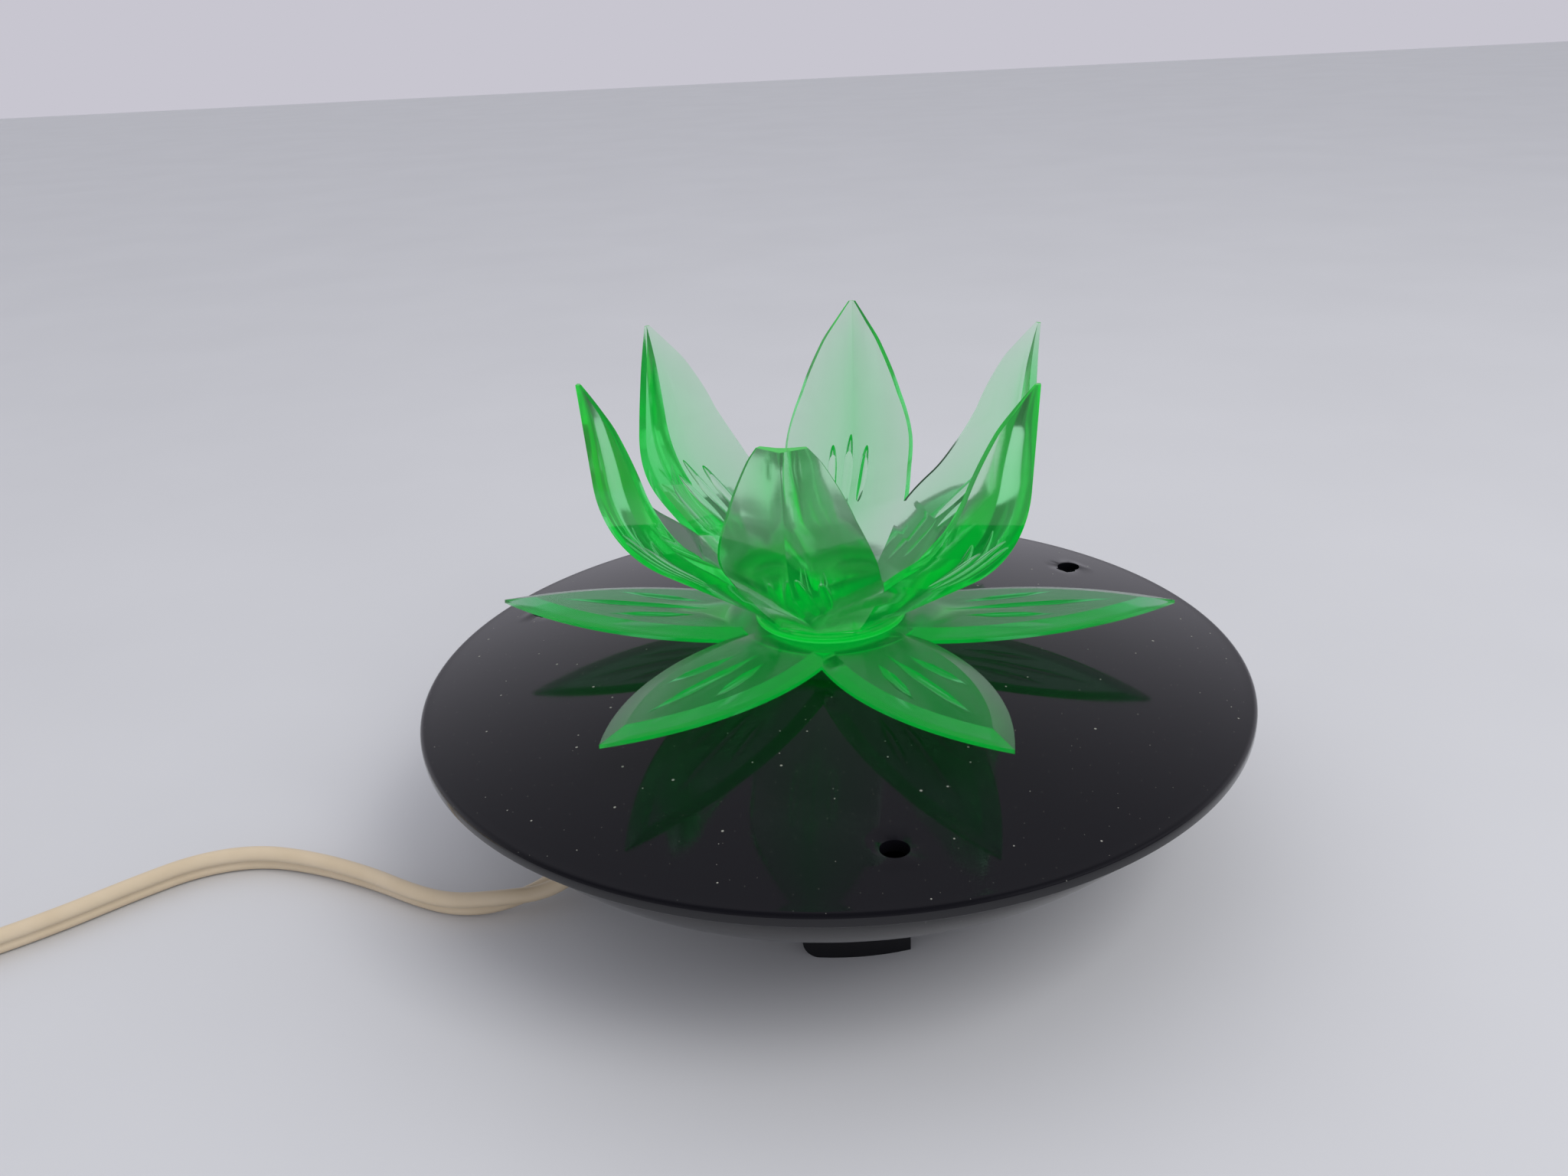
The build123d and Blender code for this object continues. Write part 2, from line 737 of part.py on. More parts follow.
def make_cores():
    """The two insulated cores, from the flex's end along the bowl's floor to the lampholder's back."""
    outer = inside_exit(inner_end_r, core_offset)
    inner = inside_exit(inner_end_r, -core_offset)
    back = holder_back - wire_depth + 2 * fit_gap
    first = [
        outer.position,
        (outer * Pos(-3.5, 0, 0)).position,
        (-10, -19.0, 15.5),
        (6, -24.5, 15.2),
        (22, -27.0, 16.0),
        (40, -22.5, lamp_z - 5),
        (51.5, -13, lamp_z - 1),
        (51.5, -terminal_y, lamp_z),
        (back, -terminal_y, lamp_z),
    ]
    second = [
        inner.position,
        (inner * Pos(-2.5, 0, 0)).position,
        (-14, -14.5, 14.3),
        (4, -20.5, 13.8),
        (22, -22.9, 15.2),
        (39, -18.0, lamp_z - 2),
        (49.5, -8.0, lamp_z + 5),
        (52, 1.0, lamp_z + 4),
        (50, terminal_y, lamp_z),
        (back, terminal_y, lamp_z),
    ]
    return [tube_along(first, core_radius), tube_along(second, core_radius)]


def make_terminal_screws():
    """Two brass screws in the lampholder's back."""
    screw = Rot(0, 90, 0) * pan_screw(3.0, 0.9, 1.7, 1.2)
    return [Pos(holder_back, y, lamp_z + terminal_z) * screw for y in (-terminal_screw_y, terminal_screw_y)]


# The free cord's route on the table and out of view, chosen by hand
cord_route = [
    exit_place(mouth).position,
    exit_place(mouth + 5.0).position,
    (-65.4, -28.2, 3.3),
    (-73.9, -28.3, 3.0),
    (-82.0, -25.1, 3.05),
    (-92.4, -18.8, 3.0),
    (-105.6, -13.0, 3.1),
    (-118.5, -9.7, 3.0),
    (-130.3, -12.5, 3.05),
    (-140.3, -20.3, 3.0),
    (-150.3, -29.6, 3.1),
    (-162.2, -38.0, 3.0),
    (-171.0, -43.8, 3.4),
    (switch_x + switch_length / 2 + switch_gland, switch_y, switch_seam_z),
    (switch_x + switch_length / 2 - switch_gland, switch_y, switch_seam_z),
]


def make_lead(coil_start, heading):
    """The short lead from the switch's far end round to the coil."""
    route = [
        (switch_x - switch_length / 2 + switch_gland, switch_y, switch_seam_z),
        (switch_x - switch_length / 2 - switch_gland, switch_y, switch_seam_z),
        (-271.0, -46.0, 3.5),
        (-283.5, -39.7, 3.0),
        (-294.8, -28.8, 3.05),
        (-302.0, -15.0, 3.0),
        coil_start - heading * 11,
        coil_start,
    ]
    return tube_along(route, cord_r, report="cord_lead")


def make_tail(coil_end, heading):
    """The last stretch, from the coil's top down to the plug."""
    middle = plug_thick / 2
    start = plug_y - relief_length
    route = [
        coil_end,
        coil_end + heading * 8,
        (-304.9, 34.0, 8.9),
        (-304.8, 41.3, 7.6),
        (plug_x, start - 5.0, middle),
        (plug_x, start + plug_entry, middle),
    ]
    return tube_along(route, cord_r, report="cord_tail")


def coil_point(angle):
    """Place and heading on the coil at an angle wound, with 0 at its left side on the table."""
    spiral = 2 * pi * coil_turns_each
    step = coil_pitch / (2 * pi)
    climb = min(max(angle - spiral, 0.0), pi)
    if angle < spiral:
        radius, drift = coil_outer - step * angle, -step
    elif angle < spiral + pi:
        radius, drift = coil_outer - step * (spiral + sin(climb)), -step * cos(climb)
    else:
        radius, drift = coil_outer - step * (2 * spiral + pi - angle), step
    around = pi - angle
    height = cord_r + coil_pitch * (1 - cos(climb)) / 2
    place = Vector(coil_x + radius * cos(around), coil_y + radius * sin(around), height)
    heading = Vector(
        drift * cos(around) + radius * sin(around),
        drift * sin(around) - radius * cos(around),
        coil_pitch * sin(climb) / 2,
    )
    return place, heading.normalized()


def biarc(a, ta, b, tb):
    """Two arcs that join two places with the given headings."""
    gap = b - a
    along = gap.dot(ta + tb)
    spread = 2 * (1 - ta.dot(tb))
    reach = (sqrt(along**2 + spread * gap.dot(gap)) - along) / spread
    meet = (a + b + (ta - tb) * reach) * 0.5
    first = TangentArc(a, meet, tangent=ta)
    return [first, TangentArc(meet, b, tangent=first % 1)]


def make_coil():
    """The put-away coil: one unbroken tube, in along the table, up a layer and out again."""
    end = 4 * pi * coil_turns_each + pi
    count = round(end / (2 * pi) * coil_arcs_per_turn)
    stops = [coil_point(end * i / count) for i in range(count + 1)]
    (a, ta), (b, tb) = stops[0], stops[-1]
    edges = [Line(a - ta * cord_width, a)]
    for (p, tp), (q, tq) in zip(stops, stops[1:]):
        edges += biarc(p, tp, q, tq)
    edges.append(Line(b, b + tb * cord_width))
    path = Wire(edges)
    tube = sweep(Plane(path @ 0, z_dir=path % 0) * Circle(cord_r), path)
    samples = 600
    points = [path @ (i / samples) for i in range(samples + 1)]
    apart = int(samples * pi * coil_outer / path.length)
    gaps = [(p - q).length for i, p in enumerate(points) for q in points[i + apart :]]
    print("cord_coil length %.1f, least gap to itself %.2f" % (path.length, min(gaps) - cord_width))
    return tube, (path @ 0, path % 0), (path @ 1, path % 1)


def make_switch_halves():
    """The switch's two shells, which clamp the cord at both ends and hold the rocker's pivots."""
    plan = fillet(Rectangle(switch_length, switch_width).vertices(), switch_corner)
    inner = offset(plan, -switch_wall)
    low = extrude(plan, switch_seam_z) - Pos(0, 0, switch_wall) * extrude(inner, switch_seam_z)
    high = Pos(0, 0, switch_seam_z) * extrude(plan, switch_height - switch_seam_z)
    high = fillet(high.faces().sort_by(Axis.Z)[-1].edges(), switch_top_fillet)
    high -= Pos(0, 0, switch_seam_z) * extrude(inner, switch_height - switch_seam_z - switch_wall)

    well_width = rocker_width + 2 * rocker_gap
    high -= Pos(0, 0, switch_height) * Box(2 * (rocker_radius + rocker_gap), well_width, switch_height)
    lug_top = switch_height - switch_wall / 2
    lug_low = 2 * pivot_z - lug_top
    for side in (-1, 1):
        y = side * (well_width + pivot_length) / 2
        high += Pos(0, y, pivot_z) * Box(lug_top - lug_low, pivot_length, lug_top - lug_low)
        high -= Pos(0, y, pivot_z) * Rot(90, 0, 0) * Cylinder(pivot_radius + pivot_clear, 2 * pivot_length)

    for side in (-1, 1):
        end = Pos(side * (switch_length / 2 - switch_gland / 2), 0)
        gland_low = Pos(0, 0, switch_seam_z / 2) * Box(switch_gland, 2 * cord_width, switch_seam_z)
        gland_high = Pos(0, 0, (switch_seam_z + lug_top) / 2)
        gland_high *= Box(switch_gland, 2 * cord_width, lug_top - switch_seam_z)
        low += end * gland_low
        high += end * gland_high
        x = side * switch_screw_x
        low += Pos(x, switch_screw_y) * upright(switch_post_radius, switch_wall / 2, switch_seam_z)
        low -= Pos(x, switch_screw_y) * upright(screw_head_radius + screw_clear, 0, screw_head_height + 1)
        low -= Pos(x, switch_screw_y) * upright(screw_radius + screw_clear, 0, switch_seam_z)
        high += Pos(x, switch_screw_y) * upright(switch_post_radius, switch_seam_z, lug_top)
        hole_top = screw_head_height + 1 + switch_screw_length + 0.5
        high -= Pos(x, switch_screw_y) * upright(screw_radius + thread_clear, switch_seam_z, hole_top)
    bore = Pos(0, 0, switch_seam_z) * Rot(0, 90, 0) * Cylinder(cord_r + thread_clear, 2 * switch_length)
    at = Pos(switch_x, switch_y)
    return at * (low - bore), at * (high - bore)


def make_switch_screws():
    """Two screws from under the switch."""
    screw = Pos(0, switch_screw_y, screw_head_height + 1) * Rot(180, 0, 0) * pan_screw(switch_screw_length)
    return [Pos(switch_x + x, switch_y) * screw for x in (-switch_screw_x, switch_screw_x)]


def make_rocker():
    """The rocker, tipped to its off side: a slice of a drum with a shallow valley and two pivots."""
    top = switch_height + rocker_proud - pivot_z
    valley = top - rocker_radius * tan(radians(2 * rocker_tilt))
    outline = Polyline(
        (-rocker_radius, -rocker_below),
        (rocker_radius, -rocker_below),
        (rocker_radius, top),
        (0, valley),
        (-rocker_radius, top),
        close=True,
    )
    face = Circle(rocker_radius) & make_face(outline)
    body = extrude(Plane.XZ * face, rocker_width / 2, both=True)
    pins = Rot(90, 0, 0) * Cylinder(pivot_radius, rocker_width + 2 * (rocker_gap + pivot_length))
    return Pos(switch_x, switch_y, pivot_z) * Rot(0, -rocker_tilt, 0) * (body + pins)


def make_bridge():
    """The brass bridge under the rocker, which tips with it."""
    bridge = Pos(0, 0, -rocker_below - bridge_thick / 2) * Box(bridge_length, rocker_width / 2, bridge_thick)
    return Pos(switch_x, switch_y, pivot_z) * Rot(0, -rocker_tilt, 0) * bridge


def make_terminals():
    """Two brass terminals: one under the bridge's middle, one under the end that comes down."""
    tilt = radians(rocker_tilt)
    drop = rocker_below + bridge_thick
    middle_top = pivot_z - drop - contact_gap
    end_top = pivot_z - drop * cos(tilt) - bridge_length / 2 * sin(tilt) - contact_gap
    floor = switch_wall + thread_clear
    terminals = []
    for x, top, contact_x in ((-terminal_x, middle_top, 0.0), (terminal_x, end_top, bridge_length / 2 - 1.0)):
        block = Pos(x, 0, floor + terminal_block / 2) * Box(terminal_block, terminal_block, terminal_block)
        reach = abs(x - contact_x)
        strip = Pos((x + contact_x) / 2, 0, floor + bridge_thick / 2) * Box(reach, 3.0, bridge_thick)
        riser = Pos(contact_x, 0, (floor + top) / 2) * Box(bridge_thick, 3.0, top - floor)
        hole = Pos(x, 0, switch_seam_z) * Rot(0, 90, 0) * Cylinder(core_radius, 2 * terminal_block)
        terminals.append(Pos(switch_x, switch_y) * (block + strip + riser - hole))
    return terminals


def plug_plane(y):
    """The plane across the plug at a distance in front of its back."""
    return Plane(origin=(plug_x, plug_y + y, plug_thick / 2), x_dir=(1, 0, 0), z_dir=(0, 1, 0))


def make_plug():
    """The plug's body: narrow at its grooved strain relief, flat and wide at its pin face."""
    waist = 0.45 * plug_length
    shapes = [
        plug_plane(0) * RectangleRounded(plug_neck_width, 2 * relief_radius, relief_radius * 0.9),
        plug_plane(waist) * RectangleRounded(0.65 * plug_face_width, 0.95 * plug_thick, plug_corner),
        plug_plane(plug_length) * RectangleRounded(plug_face_width, plug_thick, plug_corner),
    ]
    body = loft(shapes, ruled=True)
    cone = Cone(relief_end_radius, relief_radius, relief_length)
    relief = plug_plane(-relief_length / 2).location * cone
    for i in range(relief_grooves):
        at = -relief_length * (i + 1) / (relief_grooves + 1)
        ring = Cylinder(2 * relief_radius, 1.2) - Cylinder(relief_end_radius - 0.1, 1.2)
        relief -= plug_plane(at).location * ring
    body += relief
    for side in (-1, 1):
        body -= pin_place(side) * upright(pin_root_radius, -pin_seat, 0)
    cord_hole = plug_plane(-relief_length).location * upright(cord_r + thread_clear, 0, plug_entry)
    return body - cord_hole


def pin_place(side):
    """The centre of a pin's root on the plug's face, with Z pointing out."""
    return plug_plane(plug_length).location * Pos(side * pin_spacing / 2, 0, 0)


def make_pins():
    """Two round pins with chamfered ends, each on a narrower root that is moulded into the plug."""
    pin = upright(pin_radius, pin_root_proud, pin_length)
    pin = chamfer(pin.edges().sort_by(Axis.Z)[-1], pin_radius * 0.35)
    pin += upright(pin_root_radius, -pin_seat, pin_root_proud)
    return [pin_place(side) * pin for side in (-1, 1)]


coil, coil_start, coil_end = make_coil()
switch_low, switch_high = make_switch_halves()

nodes = {
    "lid": make_lid(),
    "base_bowl": make_bowl(),
    "lid_screws": make_lid_screws(),
    "lower_petals": make_lower_petals(),
    "upper_petals": make_upper_petals(),
    "flower_ring": make_flower_ring(),
    "lampholder_body": make_holder(),
    "lampholder_shell": make_shell(),
    "lampholder_contact": make_centre_contact(),
    "terminal_screws": make_terminal_screws(),
    "bulb_glass": make_bulb_glass(),
    "bulb_stem": make_stem(),
    "bulb_filament": make_filament(),
    "bulb_cap": make_bulb_cap(),
    "bulb_contact": make_bulb_contact(),
    "holder_strap": make_strap(),
    "strap_screws": make_strap_screws(),
    "cord_grommet": make_grommet(),
    "cord_inside": make_cord_inside(),
    "cord_clamp": make_clamp(),
    "clamp_screws": make_clamp_screws(),
    "cord_cores": make_cores(),
    "cord_free": tube_along(cord_route, cord_r, report="cord_free"),
    "switch_bottom": switch_low,
    "switch_top": switch_high,
    "switch_rocker": make_rocker(),
    "switch_bridge": make_bridge(),
    "switch_terminals": make_terminals(),
    "switch_screws": make_switch_screws(),
    "cord_lead": make_lead(*coil_start),
    "cord_coil": coil,
    "cord_tail": make_tail(*coil_end),
    "plug_body": make_plug(),
    "plug_pins": make_pins(),
}

for name, shape in nodes.items():
    solids = shape if isinstance(shape, list) else [shape]
    export_step(Compound(children=[s for part in solids for s in part.solids()]), f"parts/{name}.step")
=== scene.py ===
from math import asin, atan, cos, pi, radians, sin, sqrt, tan

import bmesh
import bpy
from mathutils import Matrix, Vector


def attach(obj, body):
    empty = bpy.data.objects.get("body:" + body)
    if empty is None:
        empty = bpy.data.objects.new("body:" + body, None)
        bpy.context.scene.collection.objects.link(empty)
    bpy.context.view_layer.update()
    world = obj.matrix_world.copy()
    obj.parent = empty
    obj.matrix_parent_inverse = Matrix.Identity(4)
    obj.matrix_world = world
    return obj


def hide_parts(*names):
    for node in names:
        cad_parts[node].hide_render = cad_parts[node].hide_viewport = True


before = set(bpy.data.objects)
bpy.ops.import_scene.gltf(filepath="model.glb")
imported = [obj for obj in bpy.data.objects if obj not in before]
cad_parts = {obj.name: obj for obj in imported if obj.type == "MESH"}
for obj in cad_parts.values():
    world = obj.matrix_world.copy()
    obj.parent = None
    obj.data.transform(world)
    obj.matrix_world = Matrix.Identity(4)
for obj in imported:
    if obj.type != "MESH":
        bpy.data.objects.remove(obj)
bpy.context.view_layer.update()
mm = 0.001  # sizes below are in metres, written as millimetres times mm

# The camera stands where the photographer's did, a little above the flower

cameraSettings = {
    "place": (0.0, -0.2392, 0.1578),
    "forward": (-0.0338, 0.9170, -0.3974),
    "up": (0.0367, 0.3985, 0.9164),
    "lens": 30.94,
}


def addCamera(settings):
    forward = Vector(settings["forward"]).normalized()
    right = forward.cross(Vector(settings["up"])).normalized()
    turn = Matrix((right, right.cross(forward), -forward)).transposed().to_4x4()
    lens = bpy.data.cameras.new("camera")
    lens.lens = settings["lens"]
    lens.clip_start = 5 * mm
    camera = bpy.data.objects.new("camera", lens)
    camera.matrix_world = Matrix.Translation(settings["place"]) @ turn
    bpy.context.scene.collection.objects.link(camera)
    bpy.context.scene.camera = camera


addCamera(cameraSettings)
print("camera placed")


# Colours and shader nodes

def toLinear(hexCode):
    channels = [int(hexCode[i:i + 2], 16) / 255 for i in (1, 3, 5)]
    return (*[c / 12.92 if c <= 0.04045 else ((c + 0.055) / 1.055) ** 2.4 for c in channels], 1.0)


def addNode(tree, kind, inputs=None, **settings):
    node = tree.nodes.new(kind)
    for name, value in settings.items():
        setattr(node, name, value)
    for name, value in (inputs or {}).items():
        if isinstance(value, bpy.types.NodeSocket):
            tree.links.new(value, node.inputs[name])
        else:
            node.inputs[name].default_value = value
    return node


def newMaterial(name, sockets):
    material = bpy.data.materials.new(name)
    material.use_nodes = True
    tree = material.node_tree
    shader = tree.nodes["Principled BSDF"]
    for socket, value in sockets.items():
        shader.inputs[socket].default_value = value
    return material, tree, shader


# soft colour variation, with the same pattern in the roughness and a slight relief
def addMottle(tree, shader, low, high, grain, roughness=None, bump=0.0, stretch=(1, 1, 1)):
    place = addNode(tree, "ShaderNodeTexCoord").outputs["Object"]
    turned = addNode(tree, "ShaderNodeMapping", {"Vector": place, "Scale": stretch}).outputs["Vector"]
    noise = addNode(tree, "ShaderNodeTexNoise", {"Vector": turned, "Scale": 1 / grain, "Detail": 3.0})
    shades = addNode(tree, "ShaderNodeValToRGB", {"Fac": noise.outputs["Fac"]})
    shades.color_ramp.elements[0].position = 0.3
    shades.color_ramp.elements[0].color = toLinear(low)
    shades.color_ramp.elements[1].position = 0.7
    shades.color_ramp.elements[1].color = toLinear(high)
    tree.links.new(shades.outputs["Color"], shader.inputs["Base Color"])
    if roughness:
        spread = addNode(tree, "ShaderNodeMapRange", {
            "Value": noise.outputs["Fac"], "To Min": roughness[0], "To Max": roughness[1]})
        tree.links.new(spread.outputs["Result"], shader.inputs["Roughness"])
    if bump:
        relief = addNode(tree, "ShaderNodeBump", {
            "Height": noise.outputs["Fac"], "Strength": 0.6, "Distance": bump})
        tree.links.new(relief.outputs["Normal"], shader.inputs["Normal"])


# Materials, each named for what the real piece is made of

acrylic = {
    "surface": "#f2fff4",
    "refraction": 1.49,
    # the colour of the painted glow, an emission inside the acrylic
    "paintedGlow": (0.0, 1.0, 0.14, 1.0),
}


def makeGreenAcrylicWithPaintedGlow(name, roughness, dye, density, paintedGlowStrength):
    # cast acrylic with a fluorescent dye, pale where it is thin; a painted glow, an even green emission in
    # the volume, stands in for the light the dye gathers and shows deepest where the path through it is long
    material, tree = newMaterial(name, {
        "Base Color": toLinear(acrylic["surface"]), "IOR": acrylic["refraction"],
        "Roughness": roughness, "Transmission Weight": 1.0})[:2]
    inside = addNode(tree, "ShaderNodeVolumeAbsorption", {"Color": (*dye, 1.0), "Density": density})
    paintedGlow = addNode(tree, "ShaderNodeEmission", {"Color": acrylic["paintedGlow"], "Strength": paintedGlowStrength})
    both = addNode(tree, "ShaderNodeAddShader", {0: inside.outputs[0], 1: paintedGlow.outputs[0]})
    tree.links.new(both.outputs[0], tree.nodes["Material Output"].inputs["Volume"])
    return material


gloss = {
    "colour": "#0e0e13",
    "haze": (0.06, 0.13),
    "hazeGrain": 30 * mm,
    "dustColour": "#96968f",
    "dustSpacing": 4.5 * mm,
    "dustShare": 0.84,
    "dustSize": (0.01, 0.055),
    "dustRoughness": 0.8,
    "hairGrain": 14 * mm,
    "hairStretch": 14,
    "hairTurn": 0.7,
    "hairDepth": 0.02 * mm,
}


def makeGlossBlack():
    # high-gloss moulded polystyrene: mirror-like, with dust on top and hairline scratches, which are
    # drawn coarser than real ones so that they show in the render
    material, tree, shader = newMaterial("glossBlackPolystyrene", {"IOR": 1.46, "Roughness": 0.07})
    place = addNode(tree, "ShaderNodeTexCoord").outputs["Object"]
    cells = addNode(tree, "ShaderNodeTexVoronoi", {"Vector": place, "Scale": 1 / gloss["dustSpacing"]},
                    voronoi_dimensions="2D")
    chance = addNode(tree, "ShaderNodeSeparateColor", {"Color": cells.outputs["Color"]})
    size = addNode(tree, "ShaderNodeMapRange", {
        "Value": chance.outputs[0], "From Min": gloss["dustShare"], "From Max": 1.0,
        "To Min": gloss["dustSize"][0], "To Max": gloss["dustSize"][1]})
    speck = addNode(tree, "ShaderNodeMath", {0: cells.outputs["Distance"], 1: size.outputs["Result"]},
                    operation="LESS_THAN")
    film = addNode(tree, "ShaderNodeTexNoise", {
        "Vector": place, "Scale": 1 / gloss["hazeGrain"], "Detail": 4.0})
    tone = addNode(tree, "ShaderNodeMix", {
        0: speck.outputs[0], 6: toLinear(gloss["colour"]), 7: toLinear(gloss["dustColour"])},
        data_type="RGBA")
    tree.links.new(tone.outputs[2], shader.inputs["Base Color"])
    haze = addNode(tree, "ShaderNodeMapRange", {
        "Value": film.outputs["Fac"], "From Min": 0.35, "From Max": 0.75,
        "To Min": gloss["haze"][0], "To Max": gloss["haze"][1]})
    rough = addNode(tree, "ShaderNodeMix", {
        0: speck.outputs[0], 2: haze.outputs["Result"], 3: gloss["dustRoughness"]})
    tree.links.new(rough.outputs[0], shader.inputs["Roughness"])
    hair = addNode(tree, "ShaderNodeMapping", {
        "Vector": place, "Rotation": (0, 0, gloss["hairTurn"]), "Scale": (1, gloss["hairStretch"], 1)})
    lines = addNode(tree, "ShaderNodeTexNoise", {
        "Vector": hair.outputs["Vector"], "Scale": 1 / gloss["hairGrain"], "Detail": 6.0})
    relief = addNode(tree, "ShaderNodeBump", {
        "Height": lines.outputs["Fac"], "Strength": 0.15, "Distance": gloss["hairDepth"]})
    tree.links.new(relief.outputs["Normal"], shader.inputs["Normal"])
    return material


# a moulded plastic or rubber: slightly uneven in colour and gloss, as a worn mould leaves it
def makeMoulded(name, low, high, roughness, grain=6 * mm, bump=0.05 * mm):
    material, tree, shader = newMaterial(name, {"IOR": 1.5})
    addMottle(tree, shader, low, high, grain, roughness, bump)
    return material


# a small metal part: bright, with faint handling marks
def makeMetal(name, low, high, roughness, stretch=(1, 1, 1)):
    material, tree, shader = newMaterial(name, {"Metallic": 1.0})
    addMottle(tree, shader, low, high, 1.2 * mm, roughness, 0.02 * mm, stretch)
    return material


# the cup is polished, clear with sharp highlights; the leaves have a satin face, softer and deeper green,
# with a stronger painted glow
cupAcrylic = makeGreenAcrylicWithPaintedGlow("polishedGreenAcrylicWithPaintedGlow", 0.08, (0.0, 0.75, 0.26), 112.0, 18.5)
leafAcrylic = makeGreenAcrylicWithPaintedGlow("satinGreenAcrylicWithPaintedGlow", 0.2, (0.0, 0.62, 0.3), 270.0, 40.0)
glossBlack = makeGlossBlack()
# yellowed PVC has a dull sheen; the harder switch and plug mouldings are glossier, and the rocker darker
creamFlex = makeMoulded("agedCreamPvc", "#d8c6a9", "#decdb2", (0.34, 0.42), 9 * mm, bump=0.01 * mm)
creamCase = makeMoulded("creamUreaMoulding", "#cebb9b", "#d2bf9f", (0.26, 0.32), 12 * mm, bump=0.004 * mm)
creamRocker = makeMoulded("creamRockerMoulding", "#c2ab89", "#c6b08e", (0.24, 0.3), 12 * mm, bump=0.004 * mm)
# rubber is matt, nylon, phenolic and the cores' PVC satin, and the bulb's vitrite glassy black
blackRubber = makeMoulded("blackRubber", "#15161a", "#1d1e22", (0.55, 0.7), 1.5 * mm)
blackMoulding = makeMoulded("blackNylonMoulding", "#15161a", "#1b1c20", (0.4, 0.5), 2 * mm)
whitePhenolic = makeMoulded("whitePhenolic", "#d9d6cc", "#e4e1d8", (0.3, 0.4))
coreCover = makeMoulded("brownCorePvc", "#6b4a30", "#7a5538", (0.4, 0.5), 2 * mm)
bulbBlack = makeMoulded("blackVitrite", "#08080a", "#101014", (0.08, 0.14), 2 * mm)
# zinc is bluish and soft, spring steel darker and drawn along, brass yellow, nickel warm and the glossiest
zincSteel = makeMetal("zincPlatedSteel", "#b4b7bd", "#c6c9ce", (0.28, 0.4))
springSteel = makeMetal("springSteel", "#8d9095", "#a0a3a8", (0.25, 0.36), (1, 8, 1))
plainBrass = makeMetal("plainBrass", "#b8924e", "#c9a45e", (0.25, 0.38))
nickelBrass = makeMetal("nickelPlatedBrass", "#bdb9ae", "#cfccc2", (0.14, 0.24))
filamentSteel = makeMetal("drawnFilamentWire", "#77777a", "#8a8a8d", (0.3, 0.4))
clearGlass = newMaterial("blownClearGlass", {  # thin blown soda glass
    "Base Color": toLinear("#f4f8f6"), "IOR": 1.52, "Roughness": 0.0, "Transmission Weight": 1.0})[0]
print("materials made")


# Helpers for the pieces

def addPiece(source, name, material, nodes=(), body="lamp", sharp=30.0):
    if isinstance(source, bmesh.types.BMesh):
        for face in source.faces:
            face.smooth = True
        for edge in source.edges:
            edge.smooth = not (len(edge.link_faces) == 2 and edge.calc_face_angle() > radians(sharp))
        shape = bpy.data.meshes.new(name)
        source.to_mesh(shape)
        source.free()
    else:
        shape = source
    shape.materials.append(material)
    piece = bpy.data.objects.new(name, shape)
    bpy.context.scene.collection.objects.link(piece)
    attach(piece, body)
    if nodes:
        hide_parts(*nodes)
    return piece


# a copy of a CAD node's triangles as one closed mesh
def mergedNode(node, flatten=False):
    bm = bmesh.new()
    bm.from_mesh(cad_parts[node].data)
    bmesh.ops.remove_doubles(bm, verts=bm.verts, dist=0.001 * mm)
    if flatten:
        bmesh.ops.dissolve_limit(bm, angle_limit=radians(0.4), verts=bm.verts, edges=bm.edges)
    return bm


def roundEdges(bm, width, sharp=30.0, segments=2):
    hard = [e for e in bm.edges if len(e.link_faces) == 2 and e.calc_face_angle() > radians(sharp)]
    bmesh.ops.bevel(bm, geom=hard, offset=width, offset_type="OFFSET", affect="EDGES",
                    segments=segments, profile=0.5, material=-1, clamp_overlap=True)


# a straight edge from a vertex to a new one at a place
def pullVert(bm, vert, place):
    last = bm.verts.new(place)
    bm.edges.new((vert, last))
    return last


# an arc in the XZ plane from a vertex, turned about a centre; returns the arc's last vertex
def spinVert(bm, vert, centre, angle, steps):
    made = bmesh.ops.spin(bm, geom=[vert], cent=centre, axis=(0, 1, 0), dvec=(0, 0, 0),
                          angle=angle, steps=steps)
    return [g for g in made["geom_last"] if isinstance(g, bmesh.types.BMVert)][0]


# a full turn of a profile about the lamp's axis
def spinProfile(bm, edges, steps):
    verts = list(dict.fromkeys(v for e in edges for v in e.verts))
    bmesh.ops.spin(bm, geom=verts + edges, cent=(0, 0, 0), axis=(0, 0, 1), dvec=(0, 0, 0),
                   angle=2 * pi, steps=steps, use_merge=True)


# the edges at some vertices, each once and in the same order on every run, which a set doesn't keep
def edgesOf(verts):
    return list(dict.fromkeys(e for v in verts for e in v.link_edges))


def aboutAxis(angle):
    return Matrix.Rotation(radians(angle), 4, "Z")


# puts a turned copy of one bmesh into another
def addCopy(bm, part, place):
    shape = bpy.data.meshes.new("copy")
    part.to_mesh(shape)
    shape.transform(place)
    bm.from_mesh(shape)
    bpy.data.meshes.remove(shape)


# joins or cuts one closed bmesh with another
def combine(base, tool, operation):
    holders = []
    for bm in (base, tool):
        shape = bpy.data.meshes.new("half")
        bm.to_mesh(shape)
        bm.free()
        holder = bpy.data.objects.new("half", shape)
        bpy.context.scene.collection.objects.link(holder)
        holders.append(holder)
    change = holders[0].modifiers.new("join", "BOOLEAN")
    change.object = holders[1]
    change.operation = operation
    change.solver = "EXACT"
    bpy.context.view_layer.update()
    joined = bpy.data.meshes.new_from_object(holders[0].evaluated_get(bpy.context.evaluated_depsgraph_get()))
    bm = bmesh.new()
    bm.from_mesh(joined)
    for holder in holders:
        bpy.data.meshes.remove(holder.data)
    bpy.data.meshes.remove(joined)
    return bm


# Cords: flat twin flex, one from the lamp to the switch and one from the switch to the plug

